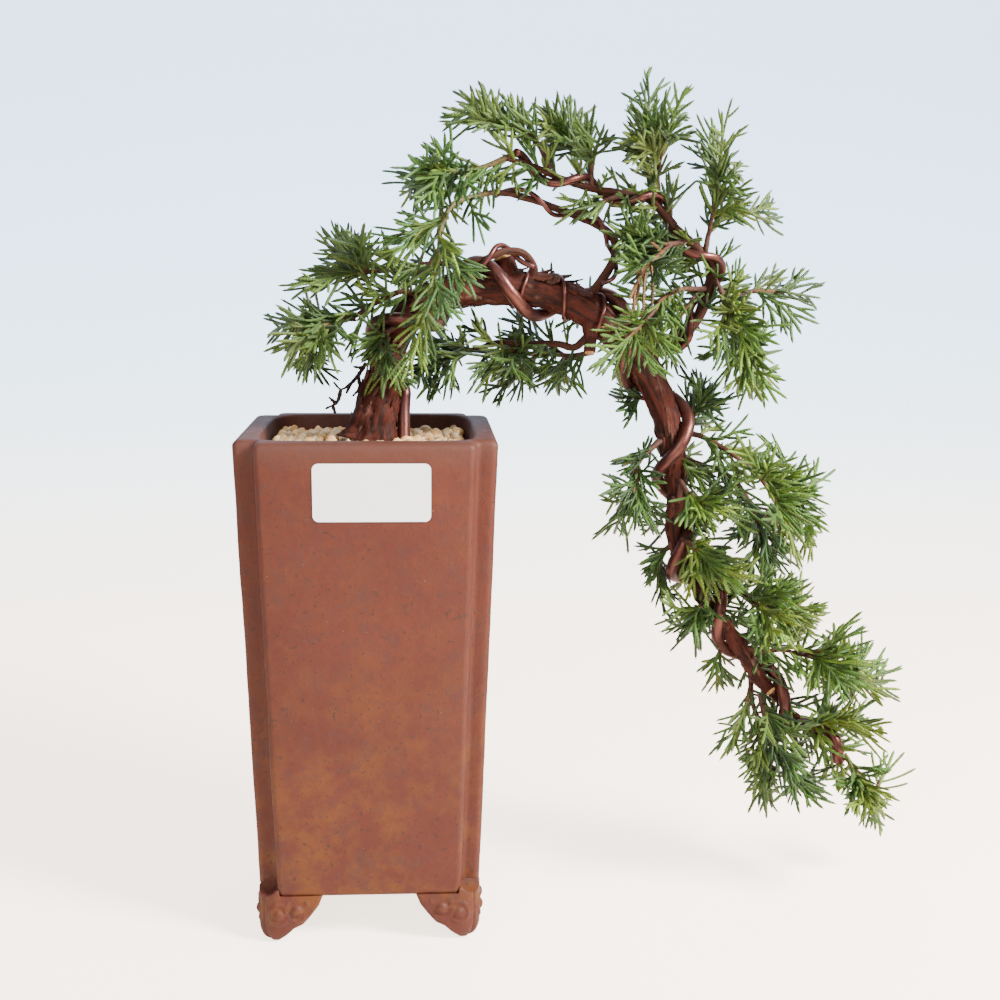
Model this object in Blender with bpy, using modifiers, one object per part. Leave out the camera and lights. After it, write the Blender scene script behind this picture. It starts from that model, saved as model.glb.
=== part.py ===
"""Cascade juniper bonsai in a tall, square, footed pot.

Blender 4.5, metres, +Z up, front towards -Y. Sizes below are in millimetres and pass through mm().
The tree is laid out round the pot: its centre is at x = y = 0 and its feet stand on z = 0. At the
end one empty carries everything so that the origin is under the middle of the whole plant.
"""

import math
import random

import bmesh
import bpy
import numpy as np
from mathutils import Matrix, Vector, noise
from mathutils.bvhtree import BVHTree

MM = 0.001
GAP = 0.3  # running clearance between two touching pieces
SEED = 24
END_LENGTH = 0.8  # the straight length at a square cut end
PROBE = Vector((0.31, 0.52, 0.79)).normalized()  # any direction that runs along no face

# Pot: a tapered square body with a square notch down each corner, on four scroll feet.
POT_HEIGHT = 190.5
POT_TOP = 95.0
POT_BASE = 83.0
POT_WALL = 9.3
POT_FLOOR = 9.0
FOOT_HEIGHT = 18.4
NOTCH = 8.3
EDGE_ROUND = 1.6
MOUTH_CORNER = 9.0
MOUTH_EASE = 1.2
DRAIN_RADIUS = 7.0
FOOT_THICK = 9.0
FOOT_PROUD = 0.8
# One wing of a foot, from the corner along the wall: (distance along, height).
FOOT_WING = [(1.0, 16.8), (-0.4, 12.0), (0.6, 6.0), (3.4, 1.2), (5.4, 0), (9.4, 0), (11.2, 1.8),
             (13.6, 5.6), (17.6, 7.4), (20.6, 11.4), (23.6, 14.8), (25.0, 18.1), (1.4, 18.1)]
SOIL_BELOW_RIM = 5.0
SOIL_TOP = POT_HEIGHT - SOIL_BELOW_RIM

# The tree is styled for one side. A place given as (x, z) in the plane y = 0 keeps its place in the
# front view when it is set back or brought forward along its line of sight to this point.
FRONT_EYE = Vector((18.0, -541.0, 259.0))

# The trunk line from the soil to the tail: x, y, z, radius.
TRUNK = [
    (1, 0, SOIL_TOP + GAP, 9.4), (3, 0, 198, 7.9), (6, 0, 210, 6.9), (9, 0, 223, 6.3),
    (19, 0, 236, 6.4), (40, 0, 243, 6.8), (65, 0, 242, 6.4), (85, 0, 234, 6.4),
    (101, 0, 219, 6.3), (111, 0, 203, 5.7), (117, 0, 183, 4.9), (119, 0, 165, 3.9),
    (119, 0, 146, 3.3), (129, 0, 127, 3.3), (142, 0, 109, 3.3), (154, 0, 91, 2.9),
    (161, 2, 83, 2.1), (175, 2, 68, 1.5), (184, 0, 62, 1.2), (192, -1, 55, 0.9),
]
# Where the trunk line is cut into pieces, as places in the list above.
TRUNK_PIECES = [("trunk_foot", 0, 4), ("trunk_arch", 4, 8), ("trunk_fall", 8, 12),
                ("trunk_tail", 12, 16), ("bough_tail", 16, 19)]
TRUNK_STEP = 7.5
BARK_UNEVEN = 0.3
BARK_GRAIN = 0.11

# Root flare: direction in degrees round the trunk, reach from its centre, height above the soil.
ROOTS = [(205, 15.5, 7.0), (255, 13.0, 5.5), (305, 11.0, 5.0), (120, 13.0, 6.0)]
ROOT_RADIUS = (3.6, 2.2)
# Stubs of old branches fused to the trunk: piece, foot, tip, radius at each end.
STUBS = [
    ("trunk_arch", (54, 1, 245), (50.5, 0, 254.5), 5.0, 4.1),
    ("trunk_arch", (84, -2, 231), (83.5, -6, 219.5), 3.4, 2.2),
    ("trunk_tail", (155, -2, 89), (158.6, -4, 83.6), 2.6, 2.3),
]

# Boughs: name, trunk piece or bough they leave, points x, y, z, radius at foot and tip.
BOUGHS = [
    ("bough_upper_low", [(84, 0, 241), (89, 1, 247), (93, 2, 254), (93, 2, 261), (88, 1, 266)], 1.9, 1.6),
    ("bough_upper_top", [(87.6, 1, 266.3), (80, 0, 269.5), (67, -2, 274), (54, -6, 277.5), (48, -9, 278)],
     1.6, 1.1),
    ("bough_apex_low", [(104, 4, 221), (112, 7, 222.5), (121, 11, 225), (128, 13, 232), (131.5, 13, 241),
                        (133, 12, 248), (130.5, 9, 254), (123.5, 6, 260), (116, 4, 266)], 2.6, 2.0),
    ("bough_apex_top", [(115.7, 3.9, 266.4), (111, 2, 272), (104, 0, 277), (86.5, -4, 279.5),
                        (74, -7, 282.5), (62, -10, 287), (51, -13, 290)], 2.0, 1.0),
    ("bough_left", [(60, -2, 243), (62, -4, 250.5), (58, -7, 256), (51, -9, 256.8), (44, -10.5, 254.3),
                    (36, -9, 252.5), (23, -6, 252), (13, -4, 249.5)], 1.7, 0.9),
    ("bough_left_under", [(20, -3, 239), (14, -7, 242), (6.5, -9, 239.5), (-1, -11, 235), (-6, -12, 232)],
     1.2, 0.8),
    ("bough_lower", [(86, 5, 228), (80, 9, 220.5), (72, 9, 221.5), (58, 11, 221.5), (50, 12, 222),
                     (42, 13, 219.5)], 1.6, 0.9),
    ("bough_cascade", [(117, -1, 188), (126, -1, 187.5), (132, -3, 185), (138, -6, 181.5),
                       (143, -8, 177.5)], 1.3, 0.8),
    ("bough_behind", [(119, 3, 178), (126, 6, 176), (131, 8, 174), (138, 10, 172), (145, 11, 167)],
     1.1, 0.8),
    ("bough_low", [(121, -2, 141), (131, -4, 135), (137, -5, 131), (143, -5, 126.5)], 1.1, 0.8),
    ("bough_right", [(146, 0, 103), (154, -2, 100.5), (162, -3, 101.5), (170, -4, 100)], 1.2, 0.8),
]
DEAD_TWIG = [[(-1, 1, 214.5), (-4, 1, 210), (-7, 0, 206.7), (-10.5, -1, 204.8), (-13.2, -1, 207.5)],
             [(-10.5, -1, 204.8), (-12, -2, 200), (-16.3, -3, 197.6)],
             [(-4, 1, 210), (-3.7, 3, 205), (-6.2, 4, 201.8)]]
DEAD_TWIG_RADIUS = 0.75

# Training wire, wound round its limb: (distance along the limb, turns made there), where whole
# turns lie on the front. A positive hand winds like a right-hand screw.
TRUNK_WIRE = 2.5
TRUNK_WINDING = [(1, -0.75), (20, -0.68), (34, -0.42), (48, 0), (89, 1), (140, 2), (187, 3), (227, 4),
                 (257, 5), (306, 6), (335, 7), (339, 7.12)]
TRUNK_WIRE_PIECES = [("wire_trunk_upper", 4, 162.9), ("wire_trunk_lower", 163.9, 339)]
# Name, boughs it runs along, radius, hand, winding, sides level.
SIDE_WIRES = [
    ("wire_apex", ("bough_apex_low", "bough_apex_top"), 1.6, -1,
     [(9, -0.4), (22, 0), (57, 1), (92, 2), (122, 3), (144, 3.8)], 1),
    ("wire_left", ("bough_left",), 1.0, -1, [(10, 0), (30, 1), (52, 2), (64, 2.5)], 0),
    ("wire_upper", ("bough_upper_low", "bough_upper_top"), 0.9, 1,
     [(5, 0), (30, 1), (56, 2), (74, 2.6)], 0),
]
WIRE_STEP = 7.6
WIRE_GAP = 0.25

# Foliage. Shoots are sprays: a toothed blade on a twig, and a twig on the stem of its mass.
SPRAY_LENGTH = 30.0
SPRAY_THICK = 1.4
SPRAY_ANGLE = 36.0
# Shares of a spray's length: half its blade's width, a tooth's foot, half its own foot.
SPRAY_BLADE = 0.075
SPRAY_TOOTH = 0.17
SPRAY_FOOT = 0.05
SPRAY_TEETH = [((0.26, 0.54), (0.39, 0.67)), ((0.3, 0.6), (0.45,))]
BARE_TWIG = 14.0  # a longer twig also carries a spray on its side
TWIG_RADIUS = (0.95, 0.8)
STEM_RADIUS = (1.15, 0.85)
CLEARANCE = 0.8
TRIES = 16
STEM_SLIDES = (0, -2, 2, -4, 4, -6, 6, -8, 8, -10, 10, -12, 12)

# name, stem (x, y, z), furthest tips in the front view (x, z), depth of the mass.
MASSES = [
    ("left_top", [(12, -4, 249), (6, -4, 250), (-1, -3, 252), (-6, -2, 254)],
     [(-20, 261), (-12, 267), (-1, 267), (-29, 238), (6, 261)], 34),
    ("left_low", [(-7, -12, 232), (-12, -12, 232), (-18, -11, 232)],
     [(-38, 224), (-27, 207), (-32, 232), (-17, 206), (-9, 215)], 34),
    ("foot_front", [(9, -9, 228), (6, -13, 226), (6, -16, 221)],
     [(6, 201), (-7, 220), (14, 204)], 15),
    ("front_fall", [(46, -10, 278), (38, -17, 276), (31, -23, 273), (27, -27, 265), (26, -29, 255),
                    (24, -30, 245), (21, -28, 234)],
     [(-1, 259), (10, 267), (19, 213), (46, 264), (45, 247), (25, 227), (12, 207), (34, 236)], 11),
    ("top_left_up", [(66, -9, 289), (62, -11, 296), (53, -13, 301), (44, -13, 306)],
     [(34, 314), (53, 315), (29, 302)], 24),
    ("top_left_low", [(50, -13, 290), (43, -14, 287), (35, -15, 285), (27, -15, 283)],
     [(15, 292), (13, 279), (25, 298), (21, 270), (38, 266)], 35),
    ("top_mid", [(83, -5, 283), (82, -6, 289), (76, -6, 296), (70, -6, 301)],
     [(66, 313), (80, 310), (88, 302), (63, 295)], 31),
    ("top_middle", [(110, 3, 276), (109, 2, 282), (108, 1, 289), (105, 0, 297)],
     [(101, 319), (119, 318), (96, 311), (95, 295), (116, 298)], 34),
    ("top_right", [(129, 6, 259), (130, 5, 265), (134, 4, 270)],
     [(154, 276), (132, 309), (141, 290), (146, 281), (122, 303)], 34),
    ("shoulder_top", [(120, 2, 261), (113, -3, 260), (105, -7, 260), (100, -9, 261)],
     [(93, 265), (92, 248), (101, 274), (120, 252), (104, 241)], 34),
    ("shoulder_low", [(128, 8, 243), (118, -3, 243), (110, -11, 240), (106, -15, 235)],
     [(84, 213), (102, 216), (113, 216), (89, 230), (106, 208), (120, 219)], 30),
    ("right_pad", [(135, 9, 244), (138, 8, 239), (141, 7, 232), (143, 6, 226)],
     [(158, 199), (147, 201), (158, 222), (141, 256), (126, 216), (146, 243)], 36),
    ("right_spray", [(142, 12, 240), (148, 12, 242), (156, 12, 242), (162, 12, 242)],
     [(173, 240), (168, 250), (165, 227)], 12),
    ("bend_back", [(106, 6, 201), (103, 10, 201)],
     [(95, 201)], 19),
    ("bend_right", [(122, 6, 189), (126, 9, 192), (129, 9, 198)],
     [(127, 212), (137, 194)], 24),
    ("lower_left", [(41, 13, 219), (34, 14, 218), (26, 15, 216), (21, 15, 215)],
     [(22, 200), (28, 205), (21, 222), (36, 226)], 30),
    ("lower_right", [(84, 8, 218), (79, 10, 217), (74, 13, 217), (66, 15, 217), (59, 16, 217)],
     [(82, 201), (47, 199), (61, 206), (39, 230), (73, 202)], 30),
    ("cascade_left", [(110, -4, 184), (105, -6, 180), (102, -8, 176), (101, -9, 171), (101, -10, 165)],
     [(90, 169), (95, 148), (103, 149), (114, 152)], 30),
    ("fall_left", [(117, 0, 143), (114, 2, 139), (114, 3, 132)],
     [(104, 145), (111, 129)], 15),
    ("cascade_right", [(144, -8, 177), (149, -10, 174), (155, -12, 171), (161, -13, 166)],
     [(175, 179), (178, 163), (176, 146), (151, 188), (167, 138)], 35),
    ("cascade_mid", [(120, -9, 169), (122, -14, 166), (126, -18, 164)],
     [(148, 155), (123, 150), (138, 152)], 15),
    ("cascade_behind", [(146, 11, 166), (151, 13, 159), (155, 14, 151), (157, 14, 143)],
     [(169, 139), (158, 131), (141, 146)], 30),
    ("cascade_front", [(122, -8, 147), (125, -14, 145), (128, -18, 141)],
     [(153, 131), (139, 125), (128, 121)], 15),
    ("cascade_low_front", [(132, -4, 122), (128, -8, 118), (126, -9, 113)],
     [(129, 106), (116, 114), (136, 110)], 19),
    ("cascade_low", [(144, -5, 126), (151, -7, 123), (159, -9, 120), (166, -9, 118)],
     [(182, 118), (171, 130), (160, 103), (173, 107), (158, 136)], 35),
    ("tail_right", [(171, -4, 100), (178, -6, 98), (186, -7, 94)],
     [(207, 92), (209, 80), (198, 110), (186, 110), (194, 77)], 31),
    ("tail_upper", [(177, -2, 69), (182, -5, 72), (189, -7, 72)],
     [(197, 76), (209, 65), (184, 80)], 24),
    ("tail_tip", [(193, -1, 54), (197, -2, 48), (201, -2, 40)],
     [(206, 23), (212, 39), (212, 58), (196, 34)], 30),
    ("tail_middle", [(155, -5, 81), (157, -8, 71), (160, -9, 62), (166, -9, 51)],
     [(184, 33), (175, 38), (184, 47), (176, 64)], 27),
    ("tail_left", [(152, 2, 89), (153, 2, 79), (156, 1, 69), (158, 0, 56), (158, 0, 48)],
     [(142, 58), (146, 68), (157, 34), (150, 46)], 24),
]

COLOURS = {  # base colour, roughness, metallic
    "clay": ((0.36, 0.15, 0.09), 0.75, 0.0),
    "grit": ((0.68, 0.52, 0.34), 0.9, 0.0),
    "bark": ((0.27, 0.09, 0.05), 0.8, 0.0),
    "copper": ((0.36, 0.17, 0.13), 0.35, 0.8),
    "dead_wood": ((0.06, 0.035, 0.03), 0.9, 0.0),
    "needles": ((0.13, 0.22, 0.07), 0.6, 0.0),
}


# ---------------------------------------------------------------- scene and materials

def clear_scene():
    for obj in list(bpy.data.objects):
        bpy.data.objects.remove(obj)


def new_collection(name, hidden=False):
    collection = bpy.data.collections.new(name)
    collection.hide_render = hidden
    bpy.context.scene.collection.children.link(collection)
    return collection


def coloured(obj, key):
    colour, roughness, metallic = COLOURS[key]
    material = bpy.data.materials.new(obj.name + "_" + key)
    material.use_nodes = True
    shader = material.node_tree.nodes["Principled BSDF"]
    shader.inputs["Base Color"].default_value = (*colour, 1)
    shader.inputs["Roughness"].default_value = roughness
    shader.inputs["Metallic"].default_value = metallic
    material.diffuse_color = (*colour, 1)
    obj.data.materials.clear()
    obj.data.materials.append(material)
    return obj


def mesh_object(name, mesh, collection):
    obj = bpy.data.objects.new(name, mesh)
    collection.objects.link(obj)
    return obj


def bmesh_object(name, bm, collection):
    mesh = bpy.data.meshes.new(name)
    bm.to_mesh(mesh)
    bm.free()
    return mesh_object(name, mesh, collection)


def evaluated_mesh(obj):
    bpy.context.view_layer.update()
    graph = bpy.context.evaluated_depsgraph_get()
    mesh = bpy.data.meshes.new_from_object(obj.evaluated_get(graph))
    mesh.transform(obj.matrix_world)
    return mesh


def settle(obj, name, collection):
    """Replaces an object and its modifiers by one plain mesh."""
    mesh = evaluated_mesh(obj)
    bpy.data.objects.remove(obj)
    mesh.name = name
    return mesh_object(name, mesh, collection)


def boolean(obj, operation, other=None, group=None, solver="EXACT"):
    modifier = obj.modifiers.new(operation.lower(), "BOOLEAN")
    modifier.operation = operation
    modifier.solver = solver
    if group:
        modifier.operand_type = "COLLECTION"
        modifier.collection = group
    else:
        modifier.object = other


def mm(point):
    return Vector(point) * MM


# ---------------------------------------------------------------- limbs

class Spine:
    """A smooth line through given points, each x, y, z and radius, read every millimetre or so."""

    def __init__(self, knots, step=1.0):
        knots = [Vector(knot) for knot in knots]
        ends = [2 * knots[0] - knots[1]] + knots + [2 * knots[-1] - knots[-2]]
        rows, self.knot_at = [], [0]
        for a, b, c, d in zip(ends, ends[1:], ends[2:], ends[3:]):
            count = max(2, round((c.xyz - b.xyz).length / step))
            for i in range(count):
                t = i / count
                rows.append(0.5 * (2 * b + (c - a) * t + (2 * a - 5 * b + 4 * c - d) * t * t
                                   + (3 * b - a - 3 * c + d) * t ** 3))
            self.knot_at.append(len(rows))
        rows.append(knots[-1])
        self.rows = np.array([tuple(row) for row in rows])
        steps = np.linalg.norm(np.diff(self.rows[:, :3], axis=0), axis=1)
        self.along = np.concatenate([[0], np.cumsum(steps)])
        self.length = float(self.along[-1])

    def at(self, distance):
        """Point, direction and radius at a distance along the line."""
        row = [np.interp(distance, self.along, self.rows[:, axis]) for axis in range(4)]
        ahead = [np.interp(min(distance + 0.5, self.length), self.along, self.rows[:, i]) for i in range(3)]
        behind = [np.interp(max(distance - 0.5, 0), self.along, self.rows[:, i]) for i in range(3)]
        return Vector(row[:3]), (Vector(ahead) - Vector(behind)).normalized(), float(row[3])

    def at_knot(self, index):
        return float(self.along[self.knot_at[index]])

    def nearest(self, point):
        gaps = np.linalg.norm(self.rows[:, :3] - np.array(point), axis=1)
        return float(self.along[int(gaps.argmin())])


def tapered(points, radius_a, radius_b):
    """Points given a radius that falls evenly from the first to the last."""
    last = len(points) - 1
    return [(*point, radius_a + (radius_b - radius_a) * i / last) for i, point in enumerate(points)]


def tube(name, points, radii, level, collection):
    """A round tube through points, capped, as one welded mesh. Level 1 has 6 sides, 3 has 10."""
    curve = bpy.data.curves.new(name, "CURVE")
    curve.dimensions = "3D"
    curve.bevel_depth = max(radii) * MM
    curve.bevel_resolution = level
    curve.use_fill_caps = True
    spline = curve.splines.new("POLY")
    spline.points.add(len(points) - 1)
    for place, point, radius in zip(spline.points, points, radii):
        place.co = (*mm(point), 1)
        place.radius = radius / max(radii)
    guide = bpy.data.objects.new(name + "_line", curve)
    collection.objects.link(guide)
    mesh = evaluated_mesh(guide)
    bpy.data.objects.remove(guide)
    bm = bmesh.new()
    bm.from_mesh(mesh)
    bmesh.ops.remove_doubles(bm, verts=bm.verts, dist=1e-6)
    bmesh.ops.recalc_face_normals(bm, faces=bm.faces)
    bm.to_mesh(mesh)
    bm.free()
    return mesh_object(name, mesh, collection)


def limb(name, spine, start, end, step, level, collection, square_ends=False):
    """A tube along part of a line. Square ends stand straight across the line, to meet another piece."""
    count = max(2, round((end - start) / step))
    places = [start + (end - start) * i / count for i in range(count + 1)]
    if square_ends:
        places = [start, start + END_LENGTH] + places[1:-1] + [end - END_LENGTH, end]
    stations = [spine.at(place) for place in places]
    points = [station[0] for station in stations]
    return tube(name, points, [station[2] for station in stations], level, collection)


def roughen(obj, spine, start, end):
    """Bark unevenness that leaves both cut ends flat."""
    for vertex in obj.data.vertices:
        here = vertex.co / MM
        distance = spine.nearest(here)
        centre = spine.at(distance)[0]
        fade = min(1.0, max(0.0, min(distance - start, end - distance) / 4 - 0.2))
        push = noise.noise(here * BARK_GRAIN) * BARK_UNEVEN * fade * 2
        vertex.co = (here + (here - centre).normalized() * push) * MM


def cone(name, foot, tip, radius_a, radius_b, sides, collection):
    """A straight tapered rod from one point to another."""
    foot, tip = Vector(foot), Vector(tip)
    bm = bmesh.new()
    turn = (tip - foot).to_track_quat("Z", "Y").to_matrix().to_4x4()
    place = Matrix.Translation((foot + tip) / 2 * MM) @ turn
    bmesh.ops.create_cone(bm, cap_ends=True, segments=sides, radius1=radius_a * MM,
                          radius2=radius_b * MM, depth=(tip - foot).length * MM, matrix=place)
    return bmesh_object(name, bm, collection)


# ---------------------------------------------------------------- clearance

class Occupied:
    """Rods that new growth keeps clear of: each has two ends, a radius and an owner."""

    def __init__(self):
        self.ends, self.radii, self.owners = [], [], []

    def add(self, owner, a, b, radius):
        self.ends.append((*a, *b))
        self.radii.append(radius)
        self.owners.append(owner)

    def add_line(self, owner, points, radii):
        for a, b, ra, rb in zip(points, points[1:], radii, radii[1:]):
            self.add(owner, a, b, max(ra, rb))

    def free(self, rods, owner, skip=()):
        """True where every rod (a, b, radius) clears the rods of all other owners."""
        keep = [i for i, other in enumerate(self.owners) if other != owner and other not in skip]
        if not keep:
            return True
        ends = np.array([self.ends[i] for i in keep])
        radii = np.array([self.radii[i] for i in keep])
        for a, b, radius in rods:
            gaps = rod_gaps(np.array(a), np.array(b), ends[:, :3], ends[:, 3:])
            if (gaps < radii + radius + CLEARANCE).any():
                return False
        return True


def surface_of(obj):
    """The surface of a piece, to measure distances to."""
    mesh = obj.data
    return BVHTree.FromPolygons([vertex.co for vertex in mesh.vertices],
                                [polygon.vertices[:] for polygon in mesh.polygons])


def first_clear(line, surfaces):
    """The first distance along a line where its cut end would stand clear of every surface by the gap."""
    distance = 0.0
    while distance < line.length / 2:
        point, direction, radius = line.at(distance)
        arm = direction.orthogonal().normalized() * radius
        ring = [point] + [point + Matrix.Rotation(math.radians(30 * i), 3, direction) @ arm for i in range(12)]
        if all(outside(place * MM, surface) for place in ring for surface in surfaces):
            break
        distance += 0.05
    return distance


def outside(place, surface):
    """True where a place is clear of a closed surface: a ray from inside crosses it an odd number of times."""
    if surface.find_nearest(place)[3] <= GAP * MM:
        return False
    crossings = 0
    hit = surface.ray_cast(place, PROBE)[0]
    while hit is not None:
        crossings += 1
        hit = surface.ray_cast(hit + PROBE * 1e-6, PROBE)[0]
    return crossings % 2 == 0


def rod_gaps(a, b, c, d):
    """Distances between the segment a-b and each segment c-d."""
    ab, cd, ca = b - a, d - c, a - c
    aa, cc = ab @ ab, (cd * cd).sum(1)
    ac, af, cf = cd @ ab, ca @ ab, (ca * cd).sum(1)
    across = np.maximum(aa * cc - ac * ac, 1e-9)
    s = np.clip((ac * cf - af * cc) / across, 0, 1)
    t = np.clip((ac * s + cf) / np.maximum(cc, 1e-9), 0, 1)
    s = np.clip((ac * t - af) / max(aa, 1e-9), 0, 1)
    return np.linalg.norm(ca + s[:, None] * ab - t[:, None] * cd, axis=1)


# ---------------------------------------------------------------- pot

def notched_square(side, notch, z):
    """The twelve corners of a square with a square notch at each corner."""
    half, inner = side / 2, side / 2 - notch
    quarter = [(half, -inner), (half, inner), (inner, inner)]
    corners = []
    for turn in range(4):
        cos, sin = (1, 0, -1, 0)[turn], (0, 1, 0, -1)[turn]
        corners += [(x * cos - y * sin, x * sin + y * cos, z) for x, y in quarter]
    return corners


def rounded_square(side, corner, z, arc=4):
    """A square outline whose corners are arcs of arc + 1 points."""
    reach = side / 2 - corner
    points = []
    for quarter in range(4):
        middle = math.radians(45 + 90 * quarter)
        cx, cy = math.copysign(reach, math.cos(middle)), math.copysign(reach, math.sin(middle))
        for i in range(arc + 1):
            angle = math.radians(90 * quarter + 90 * i / arc)
            points.append((cx + corner * math.cos(angle), cy + corner * math.sin(angle), z))
    return points


def loft(name, outlines, collection):
    """A closed solid through outlines that have the same number of points."""
    bm = bmesh.new()
    rings = [[bm.verts.new(mm(point)) for point in outline] for outline in outlines]
    count = len(rings[0])
    for low, high in zip(rings, rings[1:]):
        for i in range(count):
            j = (i + 1) % count
            bm.faces.new((low[i], low[j], high[j], high[i]))
    bm.faces.new(rings[0][::-1])
    bm.faces.new(rings[-1])
    bmesh.ops.recalc_face_normals(bm, faces=bm.faces)
    return bmesh_object(name, bm, collection)


def pot_side(z):
    """Outer width of the pot body at a height."""
    return POT_BASE + (POT_TOP - POT_BASE) * (z - FOOT_HEIGHT) / (POT_HEIGHT - FOOT_HEIGHT)


def make_pot(parts, cutters):
    body = loft("pot_block", [notched_square(POT_BASE, NOTCH * POT_BASE / POT_TOP, FOOT_HEIGHT),
                              notched_square(POT_TOP, NOTCH, POT_HEIGHT)], parts)
    bevel = body.modifiers.new("edges", "BEVEL")
    bevel.width = EDGE_ROUND * MM
    bevel.segments = 1
    bevel.limit_method = "ANGLE"
    floor = FOOT_HEIGHT + POT_FLOOR
    levels = [(pot_side(floor) - 2 * POT_WALL, floor), (pot_side(POT_HEIGHT) - 2 * POT_WALL - 0.2, POT_HEIGHT - 3),
              (pot_side(POT_HEIGHT) - 2 * POT_WALL + 2 * MOUTH_EASE, POT_HEIGHT + 1)]
    hollow = loft("pot_hollow", [rounded_square(side, MOUTH_CORNER, z) for side, z in levels], cutters)
    drain = cone("pot_drain", (0, 0, FOOT_HEIGHT - 2), (0, 0, floor + 2), DRAIN_RADIUS, DRAIN_RADIUS, 16,
                 cutters)
    for cutter in (hollow, drain):
        cutter.display_type = "WIRE"
        cutter.hide_render = True
        boolean(body, "DIFFERENCE", cutter)
    return coloured(settle(body, "pot", parts), "clay")


def make_feet(parts, cutters):
    """Four feet: each is one wing along either wall, met at the corner."""
    corner = POT_BASE / 2 + FOOT_PROUD
    for index in range(4):
        wings = []
        for flip in (False, True):
            outline = [(corner - along, z) for along, z in FOOT_WING]
            faces = (corner - FOOT_THICK - 0.4 * flip, corner - 0.25 * flip)
            walls = [[(x, y, z) if flip else (y, x, z) for x, z in outline] for y in faces]
            wings.append(loft(f"wing_{index}_{int(flip)}", walls, parts))
        boolean(wings[0], "UNION", wings[1])
        foot = settle(wings[0], f"pot_foot_{index + 1}", parts)
        bpy.data.objects.remove(wings[1])
        foot.data.transform(Matrix.Rotation(math.radians(90 * index), 4, "Z"))
        coloured(foot, "clay")


def make_soil(parts):
    """The pot's filling, clear of its walls and floor all round."""
    low = FOOT_HEIGHT + POT_FLOOR + GAP
    levels = [(low, 0.0), (SOIL_TOP - 1.5, 0.0), (SOIL_TOP, 1.5)]
    inner = POT_BASE - 2 * POT_WALL, pot_side(POT_HEIGHT) - 2 * POT_WALL - 0.2
    outlines = []
    for z, ease in levels:
        share = (z - low) / (POT_HEIGHT - 3 - low)
        side = inner[0] + (inner[1] - inner[0]) * share - 2 * GAP - 2 * ease
        outlines.append(rounded_square(side, MOUTH_CORNER - GAP, z))
    return coloured(loft("soil", outlines, parts), "grit")


# ---------------------------------------------------------------- trunk, boughs and wire

def make_trunk(trunk, taken, parts, cutters):
    pieces = []
    ground = loft("ground", [[(-60, -60, z), (60, -60, z), (60, 60, z), (-60, 60, z)]
                             for z in (SOIL_TOP - 30, SOIL_TOP + GAP)], cutters)
    ground.hide_render = True
    ground.display_type = "WIRE"
    for name, first, last in TRUNK_PIECES:
        start = trunk.at_knot(first) + (GAP / 2 if first else 0)
        end = trunk.at_knot(last) - (GAP / 2 if last < len(TRUNK) - 1 else 0)
        level = 3 if name != "bough_tail" else 1
        base = "trunk_base" if first == 0 else name + "_rod"
        piece = limb(base, trunk, start - (4 if first == 0 else 0), end, TRUNK_STEP, level, parts, True)
        if level == 3:
            roughen(piece, trunk, start if first else start - 20, end)
        extras = [cone("stub", foot, tip, ra, rb, 9, parts) for owner, foot, tip, ra, rb in STUBS
                  if owner == name]
        if first == 0:
            extras += [make_root(index, trunk, parts) for index in range(len(ROOTS))]
        for extra in extras:
            boolean(piece, "UNION", extra)
        if first == 0:
            boolean(piece, "DIFFERENCE", ground)
        pieces.append(coloured(settle(piece, name, parts), "bark"))
        for extra in extras:
            bpy.data.objects.remove(extra)
    stations = [trunk.at(distance) for distance in np.arange(0, trunk.length, 4)]
    points = [station[0] for station in stations]
    taken.add_line("trunk", points, [station[2] + 0.3 for station in stations])
    for _, foot, tip, ra, _ in STUBS:
        taken.add("trunk", foot, tip, ra)
    return [surface_of(piece) for piece in pieces]


def make_root(index, trunk, parts):
    """A root of the flare: out of the trunk and down to the soil."""
    turn, reach, height = ROOTS[index]
    centre = trunk.at(0)[0]
    out = Vector((math.cos(math.radians(turn)), math.sin(math.radians(turn)), 0))
    line = Spine(tapered([centre + out * 3 + Vector((0, 0, height + 7)),
                          centre + out * (reach * 0.62) + Vector((0, 0, height * 0.8)),
                          centre + out * reach + Vector((0, 0, -2.5))], *ROOT_RADIUS))
    return limb(f"root_{index}", line, 0, line.length, 5.0, 1, parts)


def make_boughs(surfaces, taken, parts):
    """Every bough starts clear of the trunk, or of the piece of bough before it."""
    spines = {}
    for name, points, radius_a, radius_b in BOUGHS:
        line = Spine(tapered(points, radius_a, radius_b))
        start = 0.0 if name.endswith("_top") else first_clear(line, surfaces)
        end = line.length - (GAP if name.endswith("_low") else 0)
        bough = coloured(limb(name, line, start, end, 6.0, 1, parts, True), "bark")
        stations = [line.at(distance) for distance in np.arange(start, end, 3)] + [line.at(end)]
        taken.add_line(name, [s[0] for s in stations], [s[2] for s in stations])
        spines[name] = line
        surfaces.append(surface_of(bough))
    return spines


def winding(line, marks, start, end, wire_radius, hand=1):
    """Points of a wire wound round a line from start to end, evenly spaced along the wire."""
    places, turns = zip(*marks)
    step = WIRE_STEP * max(0.45, wire_radius / TRUNK_WIRE)
    coil = []
    for distance in np.arange(start, end + 0.01, (end - start) / round((end - start) / 0.25)):
        centre, direction, radius = line.at(distance)
        front = Vector((0, -1, 0))
        front = (front - direction * front.dot(direction)).normalized()
        side = direction.cross(front) * hand
        angle = 2 * math.pi * float(np.interp(distance, places, turns))
        reach = radius + wire_radius
        reach += WIRE_GAP + step * step / (8 * reach)
        coil.append(centre + (front * math.cos(angle) + side * math.sin(angle)) * reach)
    along = [0.0]
    for a, b in zip(coil, coil[1:]):
        along.append(along[-1] + (b - a).length)
    count = round(along[-1] / step)
    return [coil[int(np.searchsorted(along, along[-1] * i / count))] for i in range(count)] + [coil[-1]]


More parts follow.
